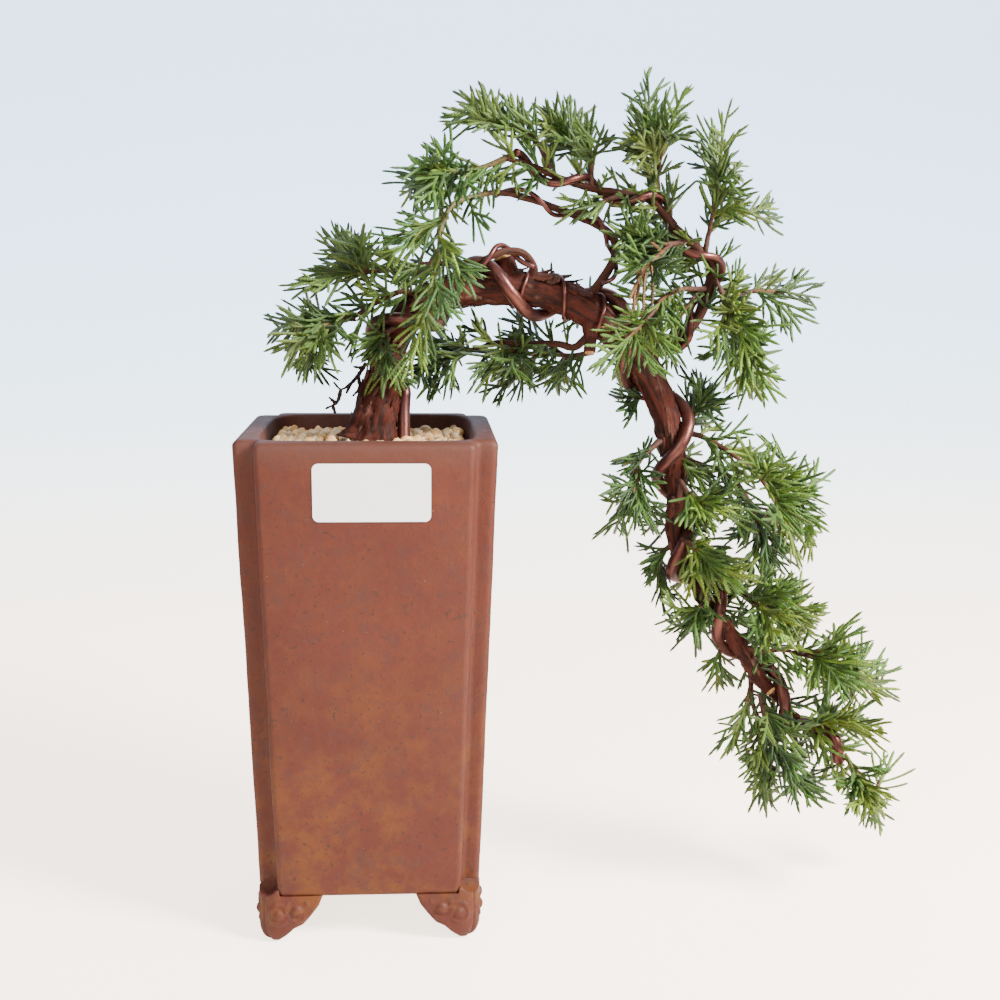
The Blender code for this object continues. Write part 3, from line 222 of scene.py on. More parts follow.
# Foliage: node it belongs to, stem (x, y, z), furthest tips in the front view (x, z), depth, greens. The
# tips are moved to their depths along the lines of sight from the front eye.
FRONT_EYE = Vector((18.0, -541.0, 259.0))
MASSES = [
    ("left_top", [(12, -4, 249), (6, -4, 250), (-1, -3, 252), (-6, -2, 254)],
     [(-20, 261), (-12, 267), (-1, 267), (-29, 238), (6, 261), (-23, 250), (-6, 262), (-24, 242)],
     34, "mid"),
    ("left_low", [(-7, -12, 232), (-12, -12, 232), (-18, -11, 232)],
     [(-38, 224), (-27, 207), (-32, 232), (-17, 206), (-9, 215), (-37, 218), (-21, 213), (-32, 215),
      (-30, 236), (-7, 223)], 34, "mid"),
    ("foot_front", [(9, -9, 228), (6, -13, 226), (6, -16, 221)],
     [(6, 201), (-7, 220), (14, 204), (1, 213), (12, 203), (-2, 215)], 15, "mid"),
    ("front_fall", [(46, -10, 278), (38, -17, 276), (31, -23, 273), (27, -27, 265), (26, -29, 255),
                    (24, -30, 245), (21, -28, 234)],
     [(-1, 259), (10, 267), (19, 213), (46, 264), (45, 247), (25, 227), (12, 207), (34, 236), (44, 243),
      (13, 263), (39, 240), (36, 256), (1, 252), (14, 222), (32, 231), (16, 244), (19, 234)], 11, "blue"),
    ("top_left_up", [(66, -9, 289), (62, -11, 296), (53, -13, 301), (44, -13, 306)],
     [(34, 314), (53, 315), (29, 302), (31, 309), (48, 309), (58, 309), (41, 311)], 24, "mid"),
    ("top_left_low", [(50, -13, 290), (43, -14, 287), (35, -15, 285), (27, -15, 283)],
     [(15, 292), (13, 279), (25, 298), (21, 270), (38, 266), (26, 271), (19, 288), (42, 270), (31, 297),
      (18, 275)], 35, "blue"),
    ("top_mid", [(83, -5, 283), (82, -6, 289), (76, -6, 296), (70, -6, 301)],
     [(66, 313), (80, 310), (88, 302), (63, 295), (58, 305), (78, 304), (72, 309)], 31, "mid"),
    ("top_mid", [(92, -5, 277), (87, -6, 275)],
     [(91, 267), (72, 271), (83, 269), (77, 272)], 12, "mid"),
    ("top_middle", [(110, 3, 276), (109, 2, 282), (108, 1, 289), (105, 0, 297)],
     [(101, 319), (119, 318), (96, 311), (95, 295), (116, 298), (119, 311), (95, 301), (103, 312),
      (99, 289)], 34, "mid"),
    ("top_right", [(129, 6, 259), (130, 5, 265), (134, 4, 270)],
     [(154, 276), (132, 309), (141, 290), (146, 281), (122, 303), (155, 271), (140, 282), (128, 307),
      (131, 300), (141, 279), (124, 298)], 34, "mid"),
    ("shoulder_top", [(120, 2, 261), (113, -3, 260), (105, -7, 260), (100, -9, 261)],
     [(93, 265), (92, 248), (101, 274), (120, 252), (104, 241), (95, 274), (94, 253), (110, 268),
      (99, 239), (93, 259)], 34, "deep"),
    ("shoulder_low", [(128, 8, 243), (118, -3, 243), (110, -11, 240), (106, -15, 235)],
     [(84, 213), (102, 216), (113, 216), (89, 230), (106, 208), (120, 219), (88, 224), (92, 239),
      (114, 209), (111, 226), (93, 208), (117, 228)], 30, "fresh"),
    ("right_pad", [(135, 9, 244), (138, 8, 239), (141, 7, 232), (143, 6, 226)],
     [(158, 199), (147, 201), (158, 222), (141, 256), (126, 216), (146, 243), (159, 210), (142, 202),
      (143, 250), (153, 232), (125, 224), (150, 202), (137, 207), (154, 229)], 36, "fresh"),
    ("right_spray", [(142, 12, 240), (148, 12, 242), (156, 12, 242), (162, 12, 242)],
     [(173, 240), (168, 251), (166, 226), (158, 251), (156, 229)], 10, "mid"),
    ("bend_back", [(106, 6, 201), (103, 10, 201)],
     [(95, 201), (98, 194), (96, 208), (106, 207)], 19, "deep"),
    ("bend_right", [(122, 6, 189), (126, 9, 192), (129, 9, 198)],
     [(127, 212), (137, 194), (132, 207), (136, 204), (123, 210)], 24, "deep"),
    ("lower_left", [(41, 13, 219), (34, 14, 218), (26, 15, 216), (21, 15, 215)],
     [(22, 200), (28, 205), (21, 222), (36, 226), (16, 208), (19, 223), (32, 211), (27, 227)], 30, "deep"),
    ("lower_right", [(84, 8, 218), (79, 10, 217), (74, 13, 217), (66, 15, 217), (59, 16, 217)],
     [(82, 201), (47, 199), (61, 206), (39, 230), (73, 202), (38, 208), (68, 205), (53, 205), (58, 208),
      (52, 236), (67, 232), (40, 203)], 30, "mid"),
    ("cascade_left", [(110, -4, 184), (105, -6, 180), (102, -8, 176), (101, -9, 171), (101, -10, 165)],
     [(90, 169), (95, 148), (103, 149), (114, 152), (89, 162), (109, 151), (97, 175), (106, 185),
      (113, 166)], 30, "deep"),
    ("fall_left", [(117, 0, 143), (114, 2, 139), (114, 3, 132)],
     [(104, 145), (111, 129), (110, 134), (117, 126), (116, 115)], 15, "deep"),
    ("cascade_right", [(144, -8, 177), (149, -10, 174), (155, -12, 171), (161, -13, 166)],
     [(175, 179), (178, 163), (176, 146), (151, 188), (167, 138), (176, 154), (156, 181), (163, 179),
      (172, 142), (141, 189), (169, 158), (170, 173), (153, 154), (159, 145)], 35, "fresh"),
    ("cascade_mid", [(120, -9, 169), (122, -14, 166), (126, -18, 164)],
     [(148, 155), (123, 150), (138, 152), (142, 162), (131, 153), (144, 166), (129, 154)], 15, "fresh"),
    ("cascade_behind", [(146, 11, 166), (151, 13, 159), (155, 14, 151), (157, 14, 143)],
     [(169, 139), (158, 131), (141, 146), (149, 131), (164, 131), (144, 142), (139, 158), (173, 149)],
     30, "deep"),
    ("cascade_front", [(122, -8, 147), (125, -14, 145), (128, -18, 141)],
     [(153, 131), (139, 125), (128, 121), (148, 125), (143, 138), (126, 127), (134, 146), (141, 131)],
     15, "fresh"),
    ("cascade_low_front", [(132, -4, 122), (128, -8, 118), (126, -9, 113)],
     [(129, 106), (116, 114), (136, 110), (123, 109), (135, 108), (114, 122), (132, 121)], 19, "deep"),
    ("cascade_low", [(144, -5, 126), (151, -7, 123), (159, -9, 120), (166, -9, 118)],
     [(182, 118), (171, 130), (160, 103), (173, 107), (158, 136), (169, 131), (167, 105), (149, 105),
      (181, 115), (151, 135), (163, 101)], 35, "fresh"),
    ("tail_right", [(171, -4, 100), (178, -6, 98), (186, -7, 94)],
     [(207, 92), (209, 80), (198, 110), (186, 110), (194, 77), (201, 104), (205, 98), (184, 112),
      (187, 77), (173, 84), (177, 83), (208, 87)], 31, "fresh"),
    ("tail_upper", [(177, -2, 69), (182, -5, 72), (189, -7, 72)],
     [(197, 76), (209, 65), (184, 80), (202, 71), (203, 67), (177, 80), (172, 73), (182, 60)], 24, "fresh"),
    ("tail_tip", [(193, -1, 54), (197, -2, 48), (201, -2, 40)],
     [(206, 23), (212, 39), (212, 58), (196, 34), (210, 49), (209, 32), (201, 28), (185, 49), (194, 38),
      (189, 43)], 30, "fresh"),
    ("tail_middle", [(155, -5, 81), (157, -8, 71), (160, -9, 62), (166, -9, 51)],
     [(184, 33), (175, 38), (184, 47), (176, 64), (184, 42), (177, 54), (165, 64), (170, 41), (157, 61)],
     27, "deep"),
    ("tail_left", [(152, 2, 89), (153, 2, 79), (156, 1, 69), (158, 0, 56), (158, 0, 48)],
     [(142, 58), (146, 68), (157, 34), (150, 46), (162, 37), (143, 56), (152, 41), (163, 45), (155, 49),
      (150, 80)], 24, "mid"),
    ("tail_left", [(140, 3, 100), (138, 5, 95)],
     [(131, 96), (139, 87), (136, 90), (145, 85)], 12, "fresh"),
]
# Leaders straight out of a limb: the node they belong to, limb, first and last place along it, how many,
# their reach, the way they lean, greens.
LIMB_SPRAYS = [
    ("shoulder_top", "bough_apex_low", 26, 66, 13, (11, 19), (-0.8, -0.3, 0.0), "deep"),
    ("right_pad", "bough_apex_low", 30, 52, 6, (9, 15), (1.0, 0.0, 0.0), "mid"),
    ("top_middle", "bough_apex_top", 2, 20, 9, (11, 19), (0.0, 0.0, 0.5), "mid"),
    ("top_mid", "bough_apex_top", 24, 60, 12, (8, 14), (0.0, 0.0, 0.4), "mid"),
    ("top_left_low", "bough_apex_top", 58, 74, 8, (9, 16), (-0.3, 0.0, -0.3), "blue"),
    ("cascade_right", "bough_cascade", 9, 30, 10, (10, 16), (0.4, 0.0, -0.1), "fresh"),
    ("cascade_behind", "bough_behind", 5, 30, 12, (10, 17), (0.2, 0.0, -0.4), "deep"),
    ("cascade_low", "bough_low", 3, 27, 11, (10, 17), (0.3, 0.0, 0.1), "fresh"),
    ("tail_right", "bough_right", 5, 25, 12, (10, 17), (0.2, -0.1, -0.1), "fresh"),
    ("lower_right", "bough_lower", 10, 49, 11, (8, 14), (0.0, 0.0, -0.3), "deep"),
    ("left_top", "bough_left", 46, 63, 10, (11, 18), (-0.3, 0.0, -0.4), "mid"),
    ("left_low", "bough_left_under", 6, 30, 13, (11, 18), (-0.5, -0.2, 0.1), "mid"),
    ("cascade_mid", "trunk", 186, 212, 8, (10, 16), (1.0, 0.4, -0.2), "deep"),
    ("cascade_front", "trunk", 212, 252, 9, (10, 18), (1.0, -0.4, 0.1), "deep"),
    ("cascade_low", "trunk", 252, 282, 9, (12, 20), (0.9, 0.3, 0.4), "mid"),
    ("tail_middle", "trunk", 294, 320, 11, (14, 24), (0.2, -0.2, -0.9), "mid"),
    ("tail_tip", "trunk", 318, 338, 10, (10, 18), (0.4, 0.0, -0.5), "fresh"),
    ("shoulder_low", "trunk", 104, 130, 7, (12, 18), (0.0, 1.6, 0.3), "deep"),
    ("bend_back", "trunk", 132, 172, 8, (11, 17), (-0.2, 1.6, 0.1), "deep"),
    ("cascade_behind", "trunk", 176, 232, 11, (12, 19), (0.2, 1.6, 0.0), "mid"),
    ("cascade_low", "trunk", 236, 296, 11, (11, 18), (0.3, 1.6, 0.1), "mid"),
]

SHOOT_RADIUS = 0.62
LEADER_RADIUS = 0.70
TWIG_RADIUS = 0.80
STEM_RADII = (1.1, 0.75)
RING_PITCH = 1.5
SCALE_PITCH = 1.15  # length of one pair of scale leaves
SHOOT_PITCH = 2.5
SHOOT_ANGLE = 35.0
SHOOT_SPREAD = 0.8  # how far side shoots leave the plane of their leader
SHOOT_SHORTEST = 5.0
SHOOT_LONGEST = 18.0
SHOOT_GAIN = 0.75  # growth of a side shoot with the length of the leader beyond it
SHOOTS_END = 0.68  # share of a leader that carries side shoots; the rest is a free tip
FORKED = 0.3  # share of the side shoots that fork
FORK_FROM = 6.5
TWO_FORKS_FROM = 9.5
FORK_PLACES = (0.22, 0.5)
STEM_SHOOT = (7, 14)
LEADER_PITCH = 1.4  # between the places on the wood that a leader can grow from
LEADER_NEAR = 9.0  # nearer than this, a place isn't a better one for a leader
GREEN_REACH = 27.0  # a leader's last stretch that is green; what comes before it is wood
WOOD_SHORTEST = 2.5
WOOD_BARE = 0.3  # share of a leader's wood before its first side shoot
STEM_TURN = 2.4  # angle between one shoot and the next round a stem
LAYER_DEPTHS = (14, 30)  # a mass deeper than each of these has one more leader for each tip
LIMB_CLEARANCE = 0.5
STEM_SUNK = 2.6
CROWDED = 3.5  # how strongly a leader's foot keeps the next one away
CROWD_REACH = 2.0

# Greens of the scale leaves, dealt out by spray, and the brown of an old shoot.
GREENS = {
    "fresh": [(0.050, 0.103, 0.013), (0.069, 0.125, 0.016), (0.037, 0.080, 0.012), (0.086, 0.125, 0.015)],
    "mid": [(0.039, 0.078, 0.014), (0.053, 0.092, 0.017), (0.029, 0.059, 0.012), (0.066, 0.096, 0.016)],
    "deep": [(0.027, 0.061, 0.012), (0.038, 0.080, 0.014), (0.021, 0.048, 0.011), (0.052, 0.092, 0.014)],
    "blue": [(0.036, 0.085, 0.019), (0.049, 0.105, 0.018), (0.029, 0.069, 0.019), (0.071, 0.117, 0.014)],
}
OLD_SHOOT = (0.086, 0.042, 0.016)
OLD_SHARE = 0.006
# Shades of a green, as factors on it: dark shoots and the joints, light shoots, the foot of a shoot. Dark
# shoots are mostly those deep in a mass, so their darkening is partly painted shade; light shoots are mostly
# the outer ones, so their lightening is partly a painted highlight besides paler new growth.
LEAF_DARK_AND_SHADE = (0.34, 0.38, 0.36)
LEAF_PALE_AND_LIT = (2.95, 2.95, 2.1)
LEAF_YELLOW = (1.75, 1.28, 0.75)

# Clay, as base colours.
CLAY_RED = (0.082, 0.0188, 0.0110)
CLAY_OCHRE = (0.112, 0.0350, 0.0096)
CLAY_SPECK = (0.036, 0.018, 0.014)
CLAY_HAZE = (0.060, 0.021, 0.017)
CLAY_BRIGHT = (0.112, 0.037, 0.021)
CLAY_DARK = (0.066, 0.022, 0.016)
# The rim's grey is a painted highlight where the rounded rim catches the light.
CLAY_RIM_HIGHLIGHT = (0.086, 0.034, 0.024)
CLAY_GRIT = (0.36, 0.26, 0.19)
OCHRE_TOP, OCHRE_FULL = 0.125, 0.03  # heights in metres between which the ochre clouds come up
RIM_HIGHLIGHT_START, RIM_HIGHLIGHT_FULL = 0.1795, 0.1885  # heights in metres between which the rim is painted lighter and greyer, a painted highlight where its rounding catches the light

# Bark: skin, bright skin, cracks, pale fibres.
OLD_BARK = [(0.021, 0.007, 0.005), (0.062, 0.013, 0.007), (0.007, 0.004, 0.003), (0.130, 0.062, 0.043)]
YOUNG_BARK = [(0.030, 0.011, 0.007), (0.064, 0.022, 0.013), (0.008, 0.005, 0.004), (0.140, 0.078, 0.056)]
# Thin wood: colour at its foot and at its end, roughness.
BROWN_TWIG = ((0.070, 0.028, 0.018), (0.165, 0.074, 0.028), 0.7)
GREEN_TWIG = ((0.098, 0.066, 0.021), (0.084, 0.120, 0.023), 0.55)
DEAD_WOOD = ((0.050, 0.028, 0.022), (0.036, 0.020, 0.017), 0.85)
CUT_WOOD = [(0.50, 0.29, 0.10), (0.28, 0.12, 0.05)]
COPPER = [(0.150, 0.052, 0.038), (0.094, 0.036, 0.034)]
PAPER = [(0.92, 0.91, 0.90), (0.84, 0.83, 0.81)]
PEBBLES = [(0.80, 0.48, 0.20), (0.88, 0.60, 0.29), (0.62, 0.34, 0.13), (0.78, 0.60, 0.38), (0.50, 0.32, 0.17)]
PEBBLE_SPECK = (0.30, 0.22, 0.16)

# Studio, in metres: the floor's ends in front and behind, its half width, the curve up, the backdrop's top.
FLOOR_FRONT, FLOOR_BACK, FLOOR_SIDE, SWEEP_RADIUS, BACKDROP_TOP = -2.5, 1.0, 4.0, 0.9, 4.0
# Backdrop colours, from the floor before the pot to the top.
BACKDROP = [(0.1, (1.0, 0.85, 0.72)), (0.34, (0.92, 0.93, 0.91)), (0.66, (0.60, 0.83, 1.0)),
            (1.0, (0.50, 0.66, 0.88))]
BACKDROP_GLOW = 3.3
BACKDROP_SPILL = 0.16  # share of the backdrop's glow that lights the plant
AIR = (0.88, 0.94, 1.0)
AIR_STRENGTH = 0.50  # as it lights the plant
AIR_SEEN = 2.4  # as the camera sees it
# Lamps: name, place in the pot's own millimetres, size, power, colour.
LAMP_AIM = (60, 0, 170)
LAMPS = [("key_light", (820, -480, 760), 0.30, 50.0, (1.0, 0.98, 0.95)),
         ("fill_light", (-420, -860, 720), 0.7, 8.0, (0.96, 0.98, 1.0)),
         ("back_light", (120, 560, 860), 0.7, 3.0, (1.0, 1.0, 1.0))]
CAMERA_PLACE = (17.98, -540.68, 258.65)
CAMERA_RIGHT = (0.99827, -0.0583, 0.00784)
CAMERA_UP = (0.00256, 0.17616, 0.98436)
CAMERA_LENS, CAMERA_SENSOR = 51.09, 36.0


# ---------------------------------------------------------------- lines and meshes

class Spine:
    """A smooth line through given points, each x, y, z and radius."""

    def __init__(self, knots, step=1.0):
        knots = np.array(knots, float)
        ends = np.vstack([2 * knots[0] - knots[1], knots, 2 * knots[-1] - knots[-2]])
        rows = []
        for a, b, c, d in zip(ends, ends[1:], ends[2:], ends[3:]):
            count = max(2, round(np.linalg.norm((c - b)[:3]) / step))
            t = (np.arange(count) / count)[:, None]
            rows.append(0.5 * (2 * b + (c - a) * t + (2 * a - 5 * b + 4 * c - d) * t * t
                               + (3 * b - a - 3 * c + d) * t ** 3))
        self.rows = np.vstack(rows + [knots[-1:]])
        steps = np.linalg.norm(np.diff(self.rows[:, :3], axis=0), axis=1)
        self.along = np.concatenate([[0], np.cumsum(steps)])
        self.length = float(self.along[-1])

    def read(self, distances):
        """Points, directions and radii at distances along the line."""
        def rows(at):
            return np.stack([np.interp(at, self.along, self.rows[:, axis]) for axis in range(4)], axis=1)
        distances = np.atleast_1d(np.asarray(distances, float))
        here = rows(distances)
        ahead = rows(np.minimum(distances + 0.6, self.length))[:, :3]
        behind = rows(np.maximum(distances - 0.6, 0))[:, :3]
        return here[:, :3], unit(ahead - behind), here[:, 3]


def unit(vectors):
    """Each vector at length 1."""
    return vectors / np.maximum(np.linalg.norm(vectors, axis=-1, keepdims=True), 1e-9)


def tapered(points, radius_a, radius_b):
    """Knots for a Spine whose radius goes evenly from one value to another."""
    last = len(points) - 1
    return [(*point, radius_a + (radius_b - radius_a) * i / last) for i, point in enumerate(points)]


def settled(points):
    """Millimetres in the pot's place as metres in the frame."""
    return np.asarray(points, float) * MM + ORIGIN


def placed(obj):
    """Puts an object in the scene."""
    bpy.context.scene.collection.objects.link(obj)
    return obj


def front_frame(directions):
    """Two unit vectors across each direction; the first looks towards the front of the tree."""
    front = np.zeros_like(directions)
    front[:, 1] = -1
    front[np.abs(directions[:, 1]) > 0.95] = (0, 0, 1)
    front = unit(front - directions * (front * directions).sum(1, keepdims=True))
    return front, np.cross(directions, front)


class Pile:
    """Loose surfaces collected as arrays and made into one mesh."""

    def __init__(self):
        self.points, self.faces, self.slots, self.count = [], {3: [], 4: []}, {3: [], 4: []}, 0
        self.marks = {}

    def add(self, points, faces, slot=0, **marks):
        """Adds points (n, 3), lists of faces with 3 or 4 corners, one slot or a slot for each face, and marks
        (n, 3) that the materials read."""
        for face in faces:
            face = np.asarray(face)
            size = face.shape[1]
            self.faces[size].append(face + self.count)
            self.slots[size].append(np.broadcast_to(slot, len(face)) if np.isscalar(slot) else slot[size])
        for name, values in marks.items():
            self.marks.setdefault(name, []).append((self.count, values))
        self.points.append(points)
        self.count += len(points)

    def make(self, name, materials, smooth=True):
        points = settled(np.vstack(self.points))
        sizes = [size for size in (3, 4) if self.faces[size]]
        faces = [np.vstack(self.faces[size]) for size in sizes]
        corners = np.concatenate([face.reshape(-1) for face in faces])
        counts = np.concatenate([np.full(len(face), face.shape[1]) for face in faces])
        slots = np.concatenate([np.concatenate(self.slots[size]) for size in sizes])
        mesh = bpy.data.meshes.new(name)
        mesh.vertices.add(len(points))
        mesh.vertices.foreach_set("co", points.astype(np.float32).reshape(-1))
        mesh.loops.add(len(corners))
        mesh.loops.foreach_set("vertex_index", corners.astype(np.int32))
        mesh.polygons.add(len(counts))
        starts = np.concatenate([[0], np.cumsum(counts)[:-1]])
        mesh.polygons.foreach_set("loop_start", starts.astype(np.int32))
        mesh.polygons.foreach_set("material_index", slots.astype(np.int32))
        mesh.polygons.foreach_set("use_smooth", np.full(len(counts), smooth))
        for label, parts in self.marks.items():
            values = np.zeros((self.count, 3), np.float32)
            for start, part in parts:
                values[start:start + len(part)] = part
            layer = mesh.attributes.new(label, "FLOAT_VECTOR", "POINT")
            layer.data.foreach_set("vector", values.reshape(-1))
        mesh.update(calc_edges=True)
        mesh.validate()
        for material in materials:
            mesh.materials.append(material)
        return placed(bpy.data.objects.new(name, mesh))


def ring_faces(rings, sides, closed=True):
    """Quads between rings of points laid one after another."""
    across = np.arange(sides if closed else sides - 1)
    low = (np.arange(rings - 1) * sides)[:, None]
    here, beside = low + across, low + (across + 1) % sides
    return np.stack([here, beside, beside + sides, here + sides], axis=-1).reshape(-1, 4)


def tube(pile, points, directions, radii, sides):
    """A round tube through points, with domed ends. Its marks are its place round and its share along."""
    points = np.vstack([points[:1] - directions[:1] * radii[:1, None] * 0.25, points,
                        points[-1:] + directions[-1:] * radii[-1:, None] * 0.25])
    directions = np.vstack([directions[:1], directions, directions[-1:]])
    radii = np.concatenate([radii[:1] * 0.75, radii, radii[-1:] * 0.75])
    front, side = front_frame(directions)
    angles = np.arange(sides) * 2 * math.pi / sides
    ring = (front[:, None] * np.cos(angles)[:, None] + side[:, None] * np.sin(angles)[:, None])
    surface = (points[:, None] + ring * radii[:, None, None]).reshape(-1, 3)
    surface = np.vstack([surface, points[:1], points[-1:]])
    quads = ring_faces(len(points), sides)
    share = np.repeat(np.linspace(0, 1, len(points)), sides)
    growth = np.stack([np.tile(np.cos(angles), len(points)), np.zeros(len(share)), share], axis=1)
    growth = np.vstack([growth, (0, 0, 0), (0, 0, 1)])
    pile.add(surface, [quads, end_fans(len(points), sides)], growth=growth)


def end_fans(rings, sides):
    """Triangles that close the first and last ring on the two points after the rings."""
    turn = np.arange(sides)
    beside, last, foot = (turn + 1) % sides, (rings - 1) * sides, rings * sides
    return np.vstack([np.stack([beside, turn, np.full(sides, foot)], axis=1),
                      np.stack([turn + last, beside + last, np.full(sides, foot + 1)], axis=1)])


def dressed(obj, *nodes, slot=None):
    """Rides on the plant's one body and stands for the CAD nodes named."""
    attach(obj, "root")
    if nodes:
        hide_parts(*nodes)
    return obj


# ---------------------------------------------------------------- materials

def new_group(name, inputs, outputs):
    """A node group with the named inputs and outputs."""
    group = bpy.data.node_groups.new(name, "ShaderNodeTree")
    for label, kind, value in inputs:
        socket = group.interface.new_socket(name=label, in_out="INPUT", socket_type=kind)
        socket.default_value = value
    for label, kind in outputs:
        group.interface.new_socket(name=label, in_out="OUTPUT", socket_type=kind)
    return group


class Nodes:
    """Adds and links shader nodes in one tree."""

    def __init__(self, tree):
        self.tree = tree

    def add(self, kind, settings=None, **inputs):
        node = self.tree.nodes.new(kind)
        for key, value in (settings or {}).items():
            setattr(node, key, value)
        for key, value in inputs.items():
            self.put(node.inputs[key.replace("_", " ")], value)
        return node

    def put(self, socket, value):
        """Links a socket to another, or sets its value."""
        if isinstance(value, bpy.types.NodeSocket):
            self.tree.links.new(value, socket)
        else:
            socket.default_value = value

    def place(self):
        """Where a point lies on its piece, in metres."""
        return self.add("ShaderNodeTexCoord").outputs["Object"]

    def marks(self, name):
        """The marks of one name that the mesh carries."""
        return self.add("ShaderNodeAttribute", {"attribute_name": name}).outputs["Vector"]

    def split(self, vector):
        """A vector's own X, Y and Z."""
        return self.add("ShaderNodeSeparateXYZ", Vector=vector).outputs

    def noise(self, vector, scale, detail=4.0, roughness=0.55):
        node = self.add("ShaderNodeTexNoise", Vector=vector, Scale=scale, Detail=detail, Roughness=roughness)
        return node.outputs["Fac"]

    def ramp(self, value, stops):
        """A colour ramp; each stop is a place and a grey value or a colour."""
        node = self.add("ShaderNodeValToRGB", Fac=value)
        elements = node.color_ramp.elements
        for i, (place, colour) in enumerate(stops):
            element = elements[i] if i < 2 else elements.new(place)
            element.position = place
            element.color = (colour, colour, colour, 1) if np.isscalar(colour) else (*colour, 1)
        return node.outputs["Color"]

    def mix(self, share, a, b, blend="MIX"):
        """Two colours mixed, b over a by the share."""
        node = self.add("ShaderNodeMix", {"data_type": "RGBA", "blend_type": blend, "clamp_factor": True})
        self.put(node.inputs[0], share)
        for socket, value in zip((node.inputs[6], node.inputs[7]), (a, b)):
            self.put(socket, value if isinstance(value, bpy.types.NodeSocket) else (*value, 1))
        return node.outputs[2]

    def maths(self, operation, *values):
        node = self.add("ShaderNodeMath", {"operation": operation})
        for socket, value in zip(node.inputs, values):
            self.put(socket, value)
        return node.outputs[0]

    def span(self, value, low, high, to_low, to_high):
        """A value carried from one range to another and held at its ends."""
        node = self.add("ShaderNodeMapRange", Value=value)
        for key, given in (("From Min", low), ("From Max", high), ("To Min", to_low), ("To Max", to_high)):
            node.inputs[key].default_value = given
        return node.outputs["Result"]

    def bump(self, height, strength, distance, normal=None):
        node = self.add("ShaderNodeBump", Height=height, Strength=strength, Distance=distance)
        if normal is not None:
            self.put(node.inputs["Normal"], normal)
        return node.outputs["Normal"]


def mottle_group():
    """Uneven colour: large clouds between two colours, and fine specks of a third."""
    group = new_group("Mottle", [
        ("Vector", "NodeSocketVector", (0, 0, 0)), ("Base", "NodeSocketColor", (0.5, 0.5, 0.5, 1)),
        ("Cloud", "NodeSocketColor", (0.5, 0.5, 0.5, 1)), ("Speck", "NodeSocketColor", (0, 0, 0, 1)),
        ("Cloud Scale", "NodeSocketFloat", 40.0), ("Speck Scale", "NodeSocketFloat", 400.0),
        ("Cloud Share", "NodeSocketFloat", 0.5), ("Speck Share", "NodeSocketFloat", 0.3)],
        [("Color", "NodeSocketColor"), ("Height", "NodeSocketFloat")])
    nodes = Nodes(group)
    given = group.nodes.new("NodeGroupInput").outputs
    made = group.nodes.new("NodeGroupOutput").inputs
    cloud = nodes.noise(given["Vector"], given["Cloud Scale"], 6.0, 0.62)
    cloud = nodes.ramp(cloud, [(0.44, 0.0), (0.61, 1.0)])
    colour = nodes.mix(nodes.maths("MULTIPLY", cloud, given["Cloud Share"]), given["Base"], given["Cloud"])
    speck = nodes.noise(given["Vector"], given["Speck Scale"], 2.0, 0.5)
    speck_mask = nodes.ramp(speck, [(0.635, 0.0), (0.69, 1.0)])
    colour = nodes.mix(nodes.maths("MULTIPLY", speck_mask, given["Speck Share"]), colour, given["Speck"])
    nodes.put(made["Color"], colour)
    nodes.put(made["Height"], speck)
    return group


def principled(name, settings):
    """A new material, its nodes and its shader with the settings given."""
    material = bpy.data.materials.new(name)
    material.use_nodes = True
    shader = material.node_tree.nodes["Principled BSDF"]
    nodes = Nodes(material.node_tree)
    for key, value in settings.items():
        nodes.put(shader.inputs[key], value)
    return material, nodes, shader


def clay_material(mottle):
    """Unglazed red-brown clay with ochre clouds, mostly low down, a greyer rim that is a painted highlight,
    dark and pale specks.
    """
    material, nodes, shader = principled("pot_clay", {"Specular IOR Level": 0.22})
    place = nodes.place()
    height = nodes.split(place)["Z"]
    low = nodes.span(height, OCHRE_TOP, OCHRE_FULL, 0.22, 1.0)
    body = nodes.add("ShaderNodeGroup", {"node_tree": mottle}, Vector=place, Base=(*CLAY_RED, 1),
                     Cloud=(*CLAY_OCHRE, 1), Speck=(*CLAY_SPECK, 1), Cloud_Scale=84.0,
                     Speck_Scale=640.0, Cloud_Share=low, Speck_Share=0.85)
    broad = nodes.noise(place, 22.0, 4.0, 0.6)
    shade = nodes.ramp(broad, [(0.3, (0.84, 0.84, 0.86)), (0.7, (1.10, 1.08, 1.04))])
    colour = nodes.mix(1.0, body.outputs["Color"], shade, "MULTIPLY")
    haze = nodes.noise(place, 130.0, 6.0, 0.78)
    colour = nodes.mix(nodes.ramp(haze, [(0.50, 0.0), (0.64, 0.7)]), colour, CLAY_HAZE)
    fine = nodes.noise(place, 240.0, 5.0, 0.72)
    colour = nodes.mix(nodes.ramp(fine, [(0.52, 0.0), (0.80, 0.4)]), colour, CLAY_BRIGHT)
    colour = nodes.mix(nodes.ramp(fine, [(0.24, 0.55), (0.44, 0.0)]), colour, CLAY_DARK)
    # The top of the wall, the rim and the top of the mouth are painted lighter and greyer: a painted
    # highlight.
    colour = nodes.mix(nodes.span(height, RIM_HIGHLIGHT_START, RIM_HIGHLIGHT_FULL, 0.0, 0.6), colour, CLAY_RIM_HIGHLIGHT)
    grit = nodes.noise(place, 1050.0, 1.0, 0.5)
    colour = nodes.mix(nodes.ramp(grit, [(0.80, 0.0), (0.83, 0.4)]), colour, CLAY_GRIT)
    nodes.put(shader.inputs["Base Color"], colour)
    nodes.put(shader.inputs["Roughness"], nodes.ramp(fine, [(0.3, 0.50), (0.7, 0.66)]))
    relief = nodes.bump(body.outputs["Height"], 0.35, 0.0004)
    relief = nodes.bump(fine, 0.35, 0.00035, relief)
    nodes.put(shader.inputs["Normal"], nodes.bump(broad, 0.5, 0.0016, relief))
    return material


